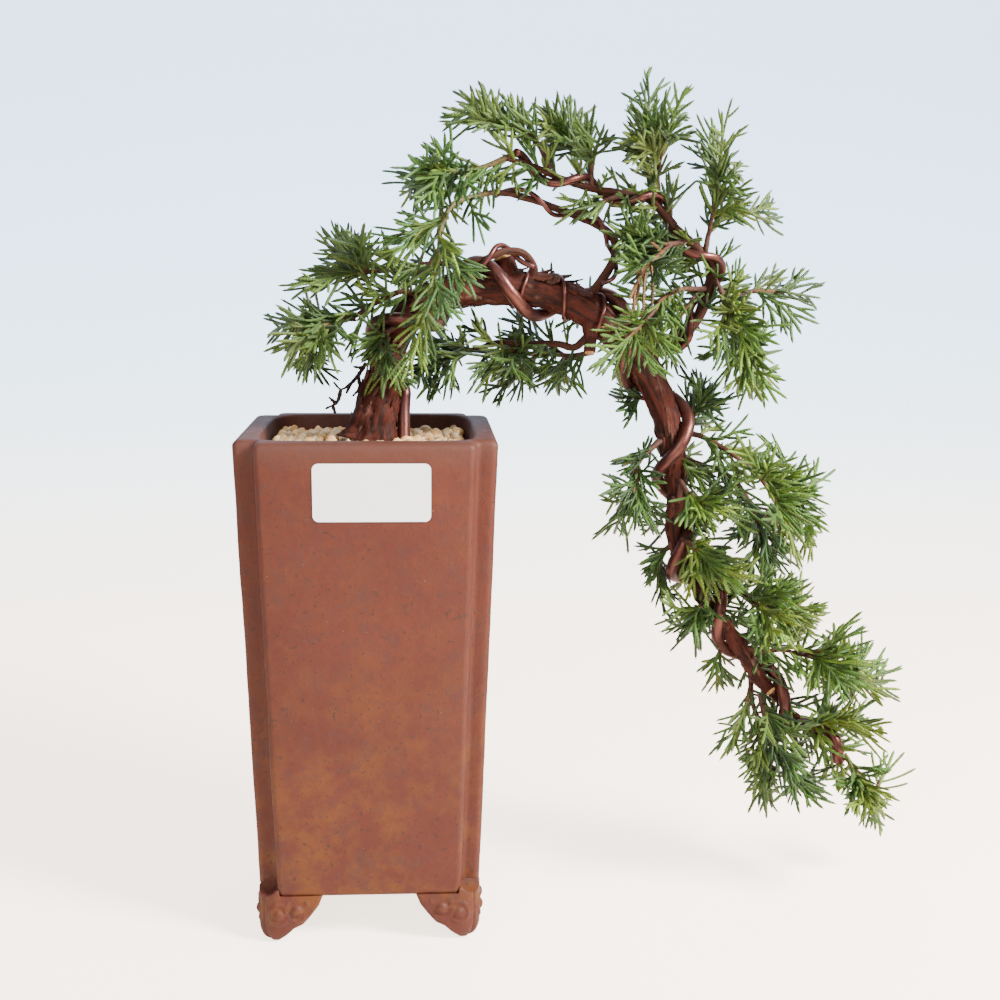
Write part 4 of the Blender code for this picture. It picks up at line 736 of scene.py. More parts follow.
def bark_material(name, base, bright, crack, pale):
    """Old bark: bright skin between dark cracks, pale flaking fibres; its marks come from the relief."""
    material, nodes, shader = principled(name, {"Specular IOR Level": 0.14})
    grain = nodes.marks("grain")
    marks = nodes.split(nodes.marks("marks"))
    fibre = nodes.noise(grain, 1.5, 6.0, 0.66)
    patch = nodes.noise(grain, 0.5, 4.0, 0.6)
    colour = nodes.mix(nodes.ramp(patch, [(0.40, 0.0), (0.56, 1.0)]), base, bright)
    colour = nodes.mix(nodes.ramp(fibre, [(0.28, 0.6), (0.42, 0.0)]), colour, crack)
    colour = nodes.mix(nodes.ramp(fibre, [(0.66, 0.0), (0.74, 0.4)]), colour, pale)
    colour = nodes.mix(nodes.maths("MULTIPLY", marks["Z"], 0.75), colour, pale)
    colour = nodes.mix(nodes.maths("MULTIPLY", marks["X"], 0.85), colour, crack)
    nodes.put(shader.inputs["Base Color"], colour)
    nodes.put(shader.inputs["Roughness"], nodes.ramp(fibre, [(0.3, 0.78), (0.7, 0.55)]))
    nodes.put(shader.inputs["Normal"], nodes.bump(fibre, 0.55, 0.0005))
    return material


def cut_material():
    """The pale face of a sawn branch, with faint rings."""
    material, nodes, shader = principled("cut_wood", {"Specular IOR Level": 0.25, "Roughness": 0.8})
    rings = nodes.noise(nodes.place(), 700.0, 3.0, 0.6)
    colour = nodes.mix(nodes.ramp(rings, [(0.35, 0.0), (0.65, 1.0)]), *CUT_WOOD)
    nodes.put(shader.inputs["Base Color"], colour)
    return material


def twig_material(name, foot, end, rough):
    """Thin wood that goes from the foot's colour to the end's, with the scars of fallen scales."""
    material, nodes, shader = principled(name, {"Specular IOR Level": 0.3, "Roughness": rough})
    share = nodes.split(nodes.marks("growth"))["Z"]
    scars = nodes.noise(nodes.place(), 850.0, 3.0, 0.6)
    colour = nodes.mix(nodes.ramp(share, [(0.25, 0.0), (0.95, 1.0)]), foot, end)
    dark = tuple(0.35 * channel for channel in foot)
    colour = nodes.mix(nodes.ramp(scars, [(0.36, 0.85), (0.52, 0.0)]), colour, dark)
    nodes.put(shader.inputs["Base Color"], colour)
    nodes.put(shader.inputs["Normal"], nodes.bump(scars, 0.7, 0.0005))
    return material


def wire_material():
    """Copper-brown anodised wire with dull patches and fine scratches."""
    material, nodes, shader = principled("wire_copper", {"Metallic": 0.85, "Specular IOR Level": 0.5,
                                                         "Anisotropic": 0.25})
    place = nodes.place()
    cloud = nodes.noise(place, 120.0, 4.0, 0.6)
    colour = nodes.mix(nodes.ramp(cloud, [(0.4, 0.0), (0.65, 1.0)]), *COPPER)
    nodes.put(shader.inputs["Base Color"], colour)
    fine = nodes.noise(place, 900.0, 3.0, 0.6)
    nodes.put(shader.inputs["Roughness"], nodes.ramp(fine, [(0.3, 0.30), (0.7, 0.50)]))
    nodes.put(shader.inputs["Normal"], nodes.bump(fine, 0.12, 0.0002))
    return material


def pebble_material(name, base, mottle):
    """One of the soil's stones, with clouds of a darker tone of its own."""
    material, nodes, shader = principled(name, {"Specular IOR Level": 0.3, "Roughness": 0.86})
    darker = tuple(0.72 * channel for channel in base)
    body = nodes.add("ShaderNodeGroup", {"node_tree": mottle}, Vector=nodes.place(), Base=(*base, 1),
                     Cloud=(*darker, 1), Speck=(*PEBBLE_SPECK, 1), Cloud_Scale=420.0,
                     Speck_Scale=1500.0, Cloud_Share=0.8, Speck_Share=0.5)
    nodes.put(shader.inputs["Base Color"], body.outputs["Color"])
    nodes.put(shader.inputs["Normal"], nodes.bump(body.outputs["Height"], 0.5, 0.0004))
    return material


def leaf_group():
    """Scale leaves on a shoot: dark joints between the pairs, one tone for each shoot, a lighter tip. The
    tones stand partly for light: low ones, mostly deep in a mass, are darkened as painted shade, and high
    ones, mostly on the outer shoots, are lightened as a painted highlight as well as paler new growth.
    """
    group = new_group("Scale Leaves", [("Base", "NodeSocketColor", (0.1, 0.2, 0.05, 1))],
                      [("Color", "NodeSocketColor"), ("Height", "NodeSocketFloat")])
    nodes = Nodes(group)
    base = group.nodes.new("NodeGroupInput").outputs["Base"]
    made = group.nodes.new("NodeGroupOutput").inputs
    growth = nodes.split(nodes.marks("growth"))
    turn = nodes.maths("MULTIPLY", growth["X"], 2 * math.pi)
    joint = nodes.maths("MULTIPLY_ADD", nodes.maths("SINE", turn), 0.5, 0.5)
    dark, light, yellow = (nodes.mix(1.0, base, factor, "MULTIPLY")
                           for factor in (LEAF_DARK_AND_SHADE, LEAF_PALE_AND_LIT, LEAF_YELLOW))
    tone = growth["Y"]
    # Low tones, mostly on shoots deep in the mass, get painted shade; high tones, mostly on outer shoots, get
    # a painted highlight as well as the paler green of new growth.
    colour = nodes.mix(nodes.ramp(tone, [(0.38, 0.0), (0.95, 0.9)]), base, light)
    colour = nodes.mix(nodes.ramp(tone, [(0.0, 0.95), (0.36, 0.0)]), colour, dark)
    colour = nodes.mix(nodes.ramp(growth["Z"], [(0.0, 0.55), (0.35, 0.0)]), colour, yellow)
    colour = nodes.mix(nodes.ramp(joint, [(0.0, 0.7), (0.4, 0.0)]), colour, dark)
    nodes.put(made["Color"], colour)
    nodes.put(made["Height"], joint)
    return group


def leaf_material(name, colour, scales):
    """Waxy scale leaves of one colour."""
    material, nodes, shader = principled(name, {"Specular IOR Level": 0.36, "Roughness": 0.46,
                                                "Sheen Weight": 0.05, "Sheen Roughness": 0.4})
    body = nodes.add("ShaderNodeGroup", {"node_tree": scales}, Base=(*colour, 1))
    nodes.put(shader.inputs["Base Color"], body.outputs["Color"])
    nodes.put(shader.inputs["Normal"], nodes.bump(body.outputs["Height"], 0.4, 0.0003))
    return material


def label_material():
    """White glossy paper."""
    material, nodes, shader = principled("label_paper", {"Specular IOR Level": 0.5, "Roughness": 0.35})
    nodes.put(shader.inputs["Base Color"], nodes.mix(nodes.noise(nodes.place(), 90.0, 3.0, 0.5), *PAPER))
    return material


# ---------------------------------------------------------------- pot and soil

def pot_side(z):
    """The pot from side to side at a height; its walls lean out."""
    return POT_BASE + (POT_TOP - POT_BASE) * (z - FOOT_HEIGHT) / (POT_HEIGHT - FOOT_HEIGHT)


def notched_outline(side, z):
    """The pot's plan at a height: a square with a square notch at each corner, every corner rounded."""
    half, inner = side / 2, side / 2 - NOTCH * side / POT_TOP
    quarter = [(half, -inner), (half, inner), (inner, inner)]
    corners = []
    for turn in range(4):
        cos, sin = (1, 0, -1, 0)[turn], (0, 1, 0, -1)[turn]
        corners += [np.array((x * cos - y * sin, x * sin + y * cos)) for x, y in quarter]
    points = []
    for before, here, after in zip(corners[-1:] + corners[:-1], corners, corners[1:] + corners[:1]):
        back, ahead = unit(before - here), unit(after - here)
        centre = here + (back + ahead) * CORNER_ROUND
        for i in range(CORNER_STEPS):
            angle = math.pi / 2 * i / (CORNER_STEPS - 1)
            points.append(centre - (ahead * math.cos(angle) + back * math.sin(angle)) * CORNER_ROUND)
        start, end = here + ahead * CORNER_ROUND, after - ahead * CORNER_ROUND
        points += [start + (end - start) * i / FLAT_STEPS for i in range(1, FLAT_STEPS)]
    return np.array([(x, y, z) for x, y in points])


def mouth_outline(side, z, guide):
    """The mouth's plan, a rounded square with one point for each point of the outer plan."""
    angles = np.arctan2(guide[:, 1], guide[:, 0])
    cos, sin = np.cos(angles), np.sin(angles)
    reach = side / 2 / (np.abs(cos) ** MOUTH_POWER + np.abs(sin) ** MOUTH_POWER) ** (1 / MOUTH_POWER)
    return np.stack([reach * cos, reach * sin, np.full(len(guide), z)], axis=1)


def make_pot(clay):
    """The pot from the middle of its base, up the walls and over the rim, to below the soil in its mouth."""
    rings = [notched_outline(POT_BASE - 2 * inset, FOOT_HEIGHT + rise) for inset, rise in BASE_EDGE]
    for z in np.linspace(FOOT_HEIGHT + WALL_START, POT_HEIGHT - RIM_ROUND, WALL_RINGS):
        ring = notched_outline(pot_side(z), z)
        outward = unit(ring * (1, 1, 0))
        waves = np.array([sum(strength * noise.noise(Vector(point) * fineness)
                              for fineness, strength in WALL_WAVES) for point in ring])
        rings.append(ring + outward * waves[:, None] * WALL_UNEVEN)
    quarter = [math.pi / 2 * i / ROUND_STEPS for i in range(ROUND_STEPS + 1)]
    for angle in quarter[1:]:
        inset, drop = RIM_ROUND * (1 - math.cos(angle)), RIM_ROUND * (1 - math.sin(angle))
        rings.append(notched_outline(POT_TOP - 2 * inset, POT_HEIGHT - drop))
    guide = rings[-1]
    for angle in quarter:
        inset, drop = MOUTH_ROUND * (1 - math.sin(angle)), MOUTH_ROUND * (1 - math.cos(angle))
        rings.append(mouth_outline(MOUTH_TOP + 2 * inset, POT_HEIGHT - drop, guide))
    rings.append(mouth_outline(MOUTH_LOW, POT_HEIGHT - MOUTH_DEPTH, guide))
    sides = len(guide)
    middle = np.array([(0, 0, FOOT_HEIGHT + 0.5)])
    turn = np.arange(sides)
    base = np.stack([(turn + 1) % sides, turn, np.full(sides, len(rings) * sides)], axis=1)
    pile = Pile()
    pile.add(np.vstack(rings + [middle]), [ring_faces(len(rings), sides), base])
    dressed(pile.make("pot_body", [clay]), "pot", slot="clay")


def inside(outline, x, z):
    """Whether a place lies inside a closed outline."""
    crossed = False
    for (ax, az), (bx, bz) in zip(outline, outline[1:] + outline[:1]):
        if (az > z) != (bz > z) and x < ax + (bx - ax) * (z - az) / (bz - az):
            crossed = not crossed
    return crossed


def foot_ball(bm, place, radius, subdivisions=3):
    """A ball of clay to be fused into a foot."""
    bmesh.ops.create_icosphere(bm, subdivisions=subdivisions, radius=radius, matrix=Matrix.Translation(place))


def foot_wing(bm, flip):
    """One wing of a foot along a wall: a slab with soft edges, its knobs and the curls round them."""
    def on_wall(along, out, z):
        x, y = FOOT_CORNER - along, FOOT_CORNER + out
        return (x, y, z) if flip else (y, x, z)
    middle = np.mean(FOOT_WING, axis=0)
    rings = []
    for out, inset in FOOT_EDGES:
        ring = []
        for along, z in FOOT_WING:
            pull = 1 - inset / max(4.0, math.hypot(along - middle[0], z - middle[1]))
            along, z = middle + (np.array((along, z)) - middle) * pull
            ring.append(bm.verts.new(on_wall(along, out, z)))
        rings.append(ring)
    for inner, outer in zip(rings, rings[1:]):
        for a, b, c, d in zip(inner, inner[1:] + inner[:1], outer[1:] + outer[:1], outer):
            bm.faces.new((a, b, c, d))
    bm.faces.new(rings[0][::-1])
    bm.faces.new(rings[-1])
    for along, z, radius, proud in FOOT_KNOBS:
        foot_ball(bm, on_wall(along, radius * (proud - 1), z), radius)
        for step in range(CURL_BALLS):
            turn = 2 * math.pi * (step / CURL_TURN + CURL_START)
            ring = radius * CURL_RING * (1 + CURL_OPENS * step)
            place, height = along - ring * math.cos(turn), z + ring * math.sin(turn)
            if inside(FOOT_WING, place, height) and place > CURL_CORNER and CURL_LOW < height < CURL_HIGH:
                foot_ball(bm, on_wall(place, -CURL_SUNK, height), CURL_THICK, 1)


def fused(bm):
    """The mesh of the overlapping clay lumps of a foot, run into one soft shape."""
    mesh = bpy.data.meshes.new("foot")
    bm.to_mesh(mesh)
    bm.free()
    obj = placed(bpy.data.objects.new("foot", mesh))
    remesh = obj.modifiers.new("fuse", "REMESH")
    remesh.mode = "VOXEL"
    remesh.voxel_size = FOOT_GRAIN
    soften = obj.modifiers.new("soften", "SMOOTH")
    soften.iterations = FOOT_SOFTENING
    bpy.context.view_layer.update()
    soft = bpy.data.meshes.new_from_object(obj.evaluated_get(bpy.context.evaluated_depsgraph_get()))
    bpy.data.objects.remove(obj)
    return soft


def foot_shaped(points):
    """The fused points with a rounded corner, a toe that narrows to the floor, and a flat top whose
    shoulder climbs into the notch of the pot's corner."""
    points[:, :2] -= FOOT_FLATTER * np.maximum(points[:, :2] - FOOT_CORNER, 0)
    beyond = np.maximum(points[:, :2] - (FOOT_CORNER - FOOT_TURN), 0)
    both = beyond.min(axis=1) > 0
    rounding = beyond[both].max(axis=1) / np.linalg.norm(beyond[both], axis=1)
    points[both, :2] = FOOT_CORNER - FOOT_TURN + beyond[both] * rounding[:, None]
    low = np.clip((TOE_HEIGHT - points[:, 2:]) / TOE_HEIGHT, 0, 1)
    toe = FOOT_CORNER - TOE_MIDDLE
    points[:, :2] = toe + (points[:, :2] - toe) * (1 - TOE_PINCH * low ** 2)
    notch = (points[:, :2] - (POT_BASE / 2 - NOTCH * POT_BASE / POT_TOP)).min(axis=1)
    climb = FOOT_SHOULDER * np.exp(-np.maximum(notch, 0) / SHOULDER_FADE) - SHOULDER_SLOPE * notch
    climb = np.where(notch > SHOULDER_START, climb, 0)
    points[:, 2] = np.clip(points[:, 2], 0, FOOT_HEIGHT + 0.5 + climb)
    return points


def make_foot(index, clay):
    """A scroll foot: two wings and the balls on its corner, fused into one soft clay shape."""
    bm = bmesh.new()
    for flip in (False, True):
        foot_wing(bm, flip)
    for inward, z, radius in CORNER_BALLS:
        foot_ball(bm, (FOOT_CORNER - inward, FOOT_CORNER - inward, z), radius)
    bmesh.ops.recalc_face_normals(bm, faces=bm.faces)
    soft = fused(bm)
    points = np.empty(len(soft.vertices) * 3, np.float32)
    soft.vertices.foreach_get("co", points)
    points = foot_shaped(points.reshape(-1, 3).astype(float))
    soft.vertices.foreach_set("co", points.astype(np.float32).reshape(-1))
    soft.transform(Matrix.Rotation(math.radians(90 * index), 4, "Z"))
    soft.transform(Matrix.Translation(ORIGIN) @ Matrix.Diagonal((MM, MM, MM, 1)))
    soft.name = f"scroll_foot_{index + 1}"
    soft.shade_smooth()
    soft.materials.append(clay)
    dressed(placed(bpy.data.objects.new(soft.name, soft)), f"pot_foot_{index + 1}", slot="clay")


def make_label(paper):
    """A blank label stuck flat on the front wall, leaning with it."""
    width, height = LABEL_SIZE
    outline = []
    for quarter in range(4):
        middle = math.radians(45 + 90 * quarter)
        cx = math.copysign(width / 2 - LABEL_CORNER, math.cos(middle))
        cz = math.copysign(height / 2 - LABEL_CORNER, math.sin(middle))
        for i in range(LABEL_CORNER_STEPS + 1):
            angle = math.radians(90 * (quarter + i / LABEL_CORNER_STEPS))
            outline.append((cx + LABEL_CORNER * math.cos(angle), cz + LABEL_CORNER * math.sin(angle)))
    outline = [(x + LABEL_PLACE[0], z + LABEL_PLACE[1]) for x, z in outline]
    rings = [np.array([(x, -pot_side(z) / 2 - lift, z) for x, z in outline])
             for lift in (LABEL_OFF, LABEL_OFF + LABEL_THICK)]
    sides = len(outline)
    turn = np.arange(sides)
    face = np.stack([turn + sides, (turn + 1) % sides + sides, np.full(sides, 2 * sides)], axis=1)
    pile = Pile()
    pile.add(np.vstack(rings + [rings[1].mean(axis=0)[None]]), [ring_faces(2, sides), face])
    dressed(pile.make("blank_label", [paper], smooth=False))


def make_soil(materials):
    """A bed of worn angular pebbles: each is a squashed, chipped ball, dealt one of the soil's colours."""
    dice = np.random.default_rng(SEED)
    bm = bmesh.new()
    bmesh.ops.create_icosphere(bm, subdivisions=2, radius=1)
    ball = np.array([vertex.co[:] for vertex in bm.verts])
    faces = np.array([[vertex.index for vertex in face.verts] for face in bm.faces])
    bm.free()
    half = MOUTH_LOW / 2 - MOUTH_CLEARANCE
    pile = Pile()
    for layer, depth in enumerate(PEBBLE_LAYERS):
        steps = np.arange(-half, half, PEBBLE_PITCH) + 0.5 * PEBBLE_PITCH * (layer % 2)
        for x, y in itertools.product(steps, steps):
            if layer == len(PEBBLE_LAYERS) - 1 and dice.random() < TOP_GAPS:
                continue
            shape = ball * dice.uniform(0.72, 1.2, 3)
            for _ in range(PEBBLE_CHIPS):
                # Each chip flattens the ball on one side.
                way = unit(dice.normal(size=3))
                over = np.maximum(shape @ way - dice.uniform(0.55, 0.8), 0)
                shape = shape - over[:, None] * way * 0.85
            stray = dice.uniform(-PEBBLE_STRAY, PEBBLE_STRAY, 3) * (1, 1, 0.5)
            centre = np.array([x, y, SOIL_TOP - depth]) + stray
            size = dice.uniform(*PEBBLE_SIZE)
            centre[:2] = np.clip(centre[:2], size - half, half - size)
            pile.add(centre + shape * size, [faces], int(dice.integers(len(materials))))
    dressed(pile.make("soil_pebbles", materials), "soil", slot="grit")


# ---------------------------------------------------------------- bark

def field(points):
    """Smooth noise at each of an array of points."""
    values = [noise.noise(Vector(point)) for point in points.reshape(-1, 3)]
    return np.array(values).reshape(points.shape[:-1])


def bark_surface(pile, line, start, end, sides, pitch, relief, seed=0, flare=None, knobs=()):
    """A limb's surface: lumps, long narrow cracks, fine fibres and bud knobs, all drawn out along it."""
    count = max(4, round((end - start) / pitch))
    distances = np.linspace(start, end, count)
    centres, directions, radii = line.read(distances)
    front, side = front_frame(directions)
    turn = np.arange(sides) * 2 * math.pi / sides
    along, bearing = np.meshgrid(distances, turn, indexing="ij")
    cos, sin = np.cos(bearing), np.sin(bearing)
    skin = np.stack([radii[:, None] * cos, radii[:, None] * sin, along + 40.0 * seed], axis=-1)
    lump = field(skin * LUMP_FINENESS)
    fibre = field(skin * FIBRE_FINENESS)
    wander = lump[..., None] * (CRACK_WANDER, CRACK_WANDER, 0)
    crack = np.clip(1 - np.abs(field((skin + wander) * CRACK_FINENESS)) / CRACK_WIDTH, 0, 1)
    push = relief * (LUMP_PUSH * lump + FIBRE_PUSH * fibre + CRACK_PUSH * crack)
    bright = np.zeros_like(push)
    for place, angle, size, height in knobs:
        beside = (np.mod(bearing - angle + math.pi, 2 * math.pi) - math.pi) * radii[:, None]
        knob = np.exp(-((along - place) ** 2 + beside ** 2) / size ** 2)
        push += height * knob
        bright = np.maximum(bright, 0.8 * knob)
    push *= np.clip((np.minimum(along - start, end - along) + BARK_END / 3) / BARK_END, 0, 1)
    if flare:
        push += flare(np.degrees(bearing), along)
    reach = radii[:, None] + push
    surface = (centres[:, None] + front[:, None] * (cos * reach)[..., None]
               + side[:, None] * (sin * reach)[..., None]).reshape(-1, 3)
    surface = np.vstack([surface, centres[:1], centres[-1:]])
    grain = np.vstack([skin.reshape(-1, 3), (0, 0, start), (0, 0, end)]) * GRAIN_FINENESS
    marks = np.stack([crack * min(1.0, relief ** 2 + 0.15), lump, bright], axis=-1).reshape(-1, 3)
    pile.add(surface, [ring_faces(count, sides), end_fans(count, sides)],
             grain=grain, marks=np.vstack([marks, (0, 0, 0), (0, 0, 0)]))


def root_flare(turn, along):
    """How far the roots stand out at a bearing and a distance up the trunk."""
    reach = np.zeros_like(along)
    for bearing, height, width in ROOTS:
        # The surface starts at the front, which bears 270 degrees, and turns towards +X.
        apart = np.mod(turn - (bearing - 270) - ROOT_TWIST * along + 180, 360) - 180
        reach += height * np.exp(-(apart / width) ** 2) * np.exp(-np.maximum(along, 0) / ROOT_FALL)
    return reach


def make_trunk(trunk, bark, cut):
    """The trunk's bark in one piece with its root flare and stubs, and the stubs' sawn faces."""
    dice = np.random.default_rng(SEED + 1)
    first, short = BUD_PLACES
    knobs = [(dice.uniform(first, trunk.length - short), dice.uniform(0, 2 * math.pi),
              dice.uniform(*BUD_SIZE), dice.uniform(*BUD_HEIGHT)) for _ in range(BUD_KNOBS)]
    pile = Pile()
    bark_surface(pile, trunk, -0.3, FLARE_END, *FLARE_BARK, flare=root_flare)
    bark_surface(pile, trunk, FLARE_END - 1, trunk.length, *TRUNK_BARK, knobs=knobs)
    for index, (foot, tip, radius_a, radius_b) in enumerate(STUBS):
        stub = Spine(tapered([foot, tip], radius_a, radius_b))
        bark_surface(pile, stub, 0, stub.length, *STUB_BARK, seed=index + 1)
    dressed(pile.make("trunk_bark", [bark]), *TRUNK_NODES, slot="bark")
    faces = Pile()
    for foot, tip, _, radius in STUBS:
        way = unit(np.array(tip, float) - foot)
        ends = np.array([tip - way * 0.2, tip + way * 0.12])
        tube(faces, ends, np.array([way, way]), np.array([radius, radius]) * 0.86, 20)
    dressed(faces.make("cut_faces", [cut]))


def make_flakes(trunk, bark):
    """Loose strips of old bark along the trunk, ragged and curling away; most on top of the arch."""
    dice = np.random.default_rng(SEED + 3)
    pile = Pile()
    share = np.linspace(0, 1, FLAKE_STEPS)
    lines = len(FLAKE_LINES)
    for count, first, last, furthest in LOOSE_BARK:
        high = furthest > HIGH_LIFT
        for _ in range(count):
            start, length = dice.uniform(first, last), dice.uniform(*FLAKE_LENGTH)
            width = dice.uniform(*FLAKE_WIDTH) * (HIGH_WIDER if high else 1)
            centres, directions, radii = trunk.read(start + length * share)
            front, side = front_frame(directions)
            # Strips that lift far grow on top of the arch, a quarter turn back from the front.
            angle = dice.normal(-math.pi / 2, 0.5) if high else dice.uniform(0, 2 * math.pi)
            lift = dice.uniform(0.25, 1) * furthest * share ** 2.5
            taper = 0.25 + np.sin(math.pi * (0.1 + 0.8 * share))
            ragged = width * taper * dice.uniform(0.7, 1.1, FLAKE_STEPS)
            strip = []
            for edge in FLAKE_LINES:
                bearing = angle + edge * ragged / radii / 2 + 0.25 * share
                out = front * np.cos(bearing)[:, None] + side * np.sin(bearing)[:, None]
                reach = radii + 0.35 + lift - 0.3 * abs(edge) + 0.12 * dice.normal(size=FLAKE_STEPS)
                strip.append(centres + out * reach[:, None])
            surface = np.stack(strip, axis=1).reshape(-1, 3)
            grain = np.zeros((len(surface), 3))
            grain[:, 0] = dice.uniform(0, 40)
            grain[:, 1] = np.tile(FLAKE_LINES, FLAKE_STEPS) * width
            grain[:, 2] = np.repeat(share * length * GRAIN_FINENESS[2], lines)
            pale = np.tile((0, 0, dice.uniform(0, 0.9)), (len(surface), 1))
            pile.add(surface, [ring_faces(FLAKE_STEPS, lines, closed=False)], grain=grain, marks=pale)
    flakes = pile.make("bark_flakes", [bark])
    thick = flakes.modifiers.new("thickness", "SOLIDIFY")
    thick.thickness = FLAKE_THICK * MM
    dressed(flakes)


def make_boughs(boughs, bark):
    """The bark of every bough."""
    pile = Pile()
    for index, line in enumerate(boughs.values()):
        bark_surface(pile, line, 0, line.length, *BOUGH_BARK, seed=index)
    dressed(pile.make("bough_bark", [bark]), *boughs, slot="bark")


# ---------------------------------------------------------------- wire and dead twig

def winding(line, marks, wire_radius, hand=1):
    """Points of a wire wound round a line, from its first mark to its last."""
    places, turns = zip(*marks)
    distances = np.arange(places[0], places[-1], WIRE_STEP)
    centres, directions, radii = line.read(distances)
    front, side = front_frame(directions)
    angles = 2 * math.pi * np.interp(distances, places, turns) * hand
    reach = (radii + wire_radius + WIRE_GAP)[:, None]
    return centres + (front * np.cos(angles)[:, None] + side * np.sin(angles)[:, None]) * reach


def wire_tube(pile, points, radius, sides):
    """A round wire along evenly bent points."""
    kernel = np.ones(WIRE_SOFTENING) / WIRE_SOFTENING
    ends = WIRE_SOFTENING // 2
    padded = np.vstack([np.repeat(points[:1], ends, axis=0), points, np.repeat(points[-1:], ends, axis=0)])
    points = np.stack([np.convolve(padded[:, axis], kernel, "valid") for axis in range(3)], axis=1)[::2]
    directions = unit(np.gradient(points, axis=0))
    tube(pile, points, directions, np.full(len(points), radius), sides)


def make_wires(trunk, boughs, copper):
    """The heavy wire of the trunk, the wires of the boughs and the thin binding of the arch."""
    pile = Pile()
    wire_tube(pile, winding(trunk, TRUNK_WINDING, TRUNK_WIRE), TRUNK_WIRE, 18)
    dressed(pile.make("trunk_wire", [copper]), "wire_trunk_upper", "wire_trunk_lower", slot="copper")
    for name, carriers, radius, hand, marks in SIDE_WIRES:
        rows = np.concatenate([boughs[carrier].rows for carrier in carriers])
        line = Spine(np.vstack([rows[::4], rows[-1:]]))
        pile = Pile()
        wire_tube(pile, winding(line, marks, radius, hand), radius, 12)
        dressed(pile.make(name + "_round", [copper]), name, slot="copper")
    pile = Pile()
    for hand, marks in BINDINGS:
        wire_tube(pile, winding(trunk, marks, BINDING_WIRE, hand), BINDING_WIRE, 10)
    dressed(pile.make("binding_wire", [copper]))


def make_dead_twig(wood):
    """The dead twig over the soil, knotty along its forks."""
    pile = Pile()
    for points in DEAD_TWIG:
        line = Spine(tapered(points, *DEAD_TWIG_RADII))
        where, directions, radii = line.read(np.linspace(0, line.length, 30))
        knots = np.array([noise.noise(Vector(point) * 0.9) for point in where])
        tube(pile, where, directions, radii * (1 + 0.5 * knots), 9)
    dressed(pile.make("dead_twig_wood", [wood]), "dead_twig", slot="dead_wood")


# ---------------------------------------------------------------- foliage

def set_back(x, z, y):
    """A place of the front view, moved along its line of sight to depth y."""
    seen = Vector((x, 0, z)) - FRONT_EYE
    return FRONT_EYE + seen * ((y - FRONT_EYE.y) / -FRONT_EYE.y)


def on_curve(curve, t):
    """Point and direction at a share t of a curve with three control points."""
    a, b, c = curve
    return a * (1 - t) ** 2 + b * 2 * t * (1 - t) + c * t * t, ((b - a) * (1 - t) + (c - b) * t).normalized()


def parted(curve, t):
    """The same curve as two, parted at a share t."""
    a, b, c = curve
    here = on_curve(curve, t)[0]
    return (a, a.lerp(b, t), here), (here, b.lerp(c, t), c)


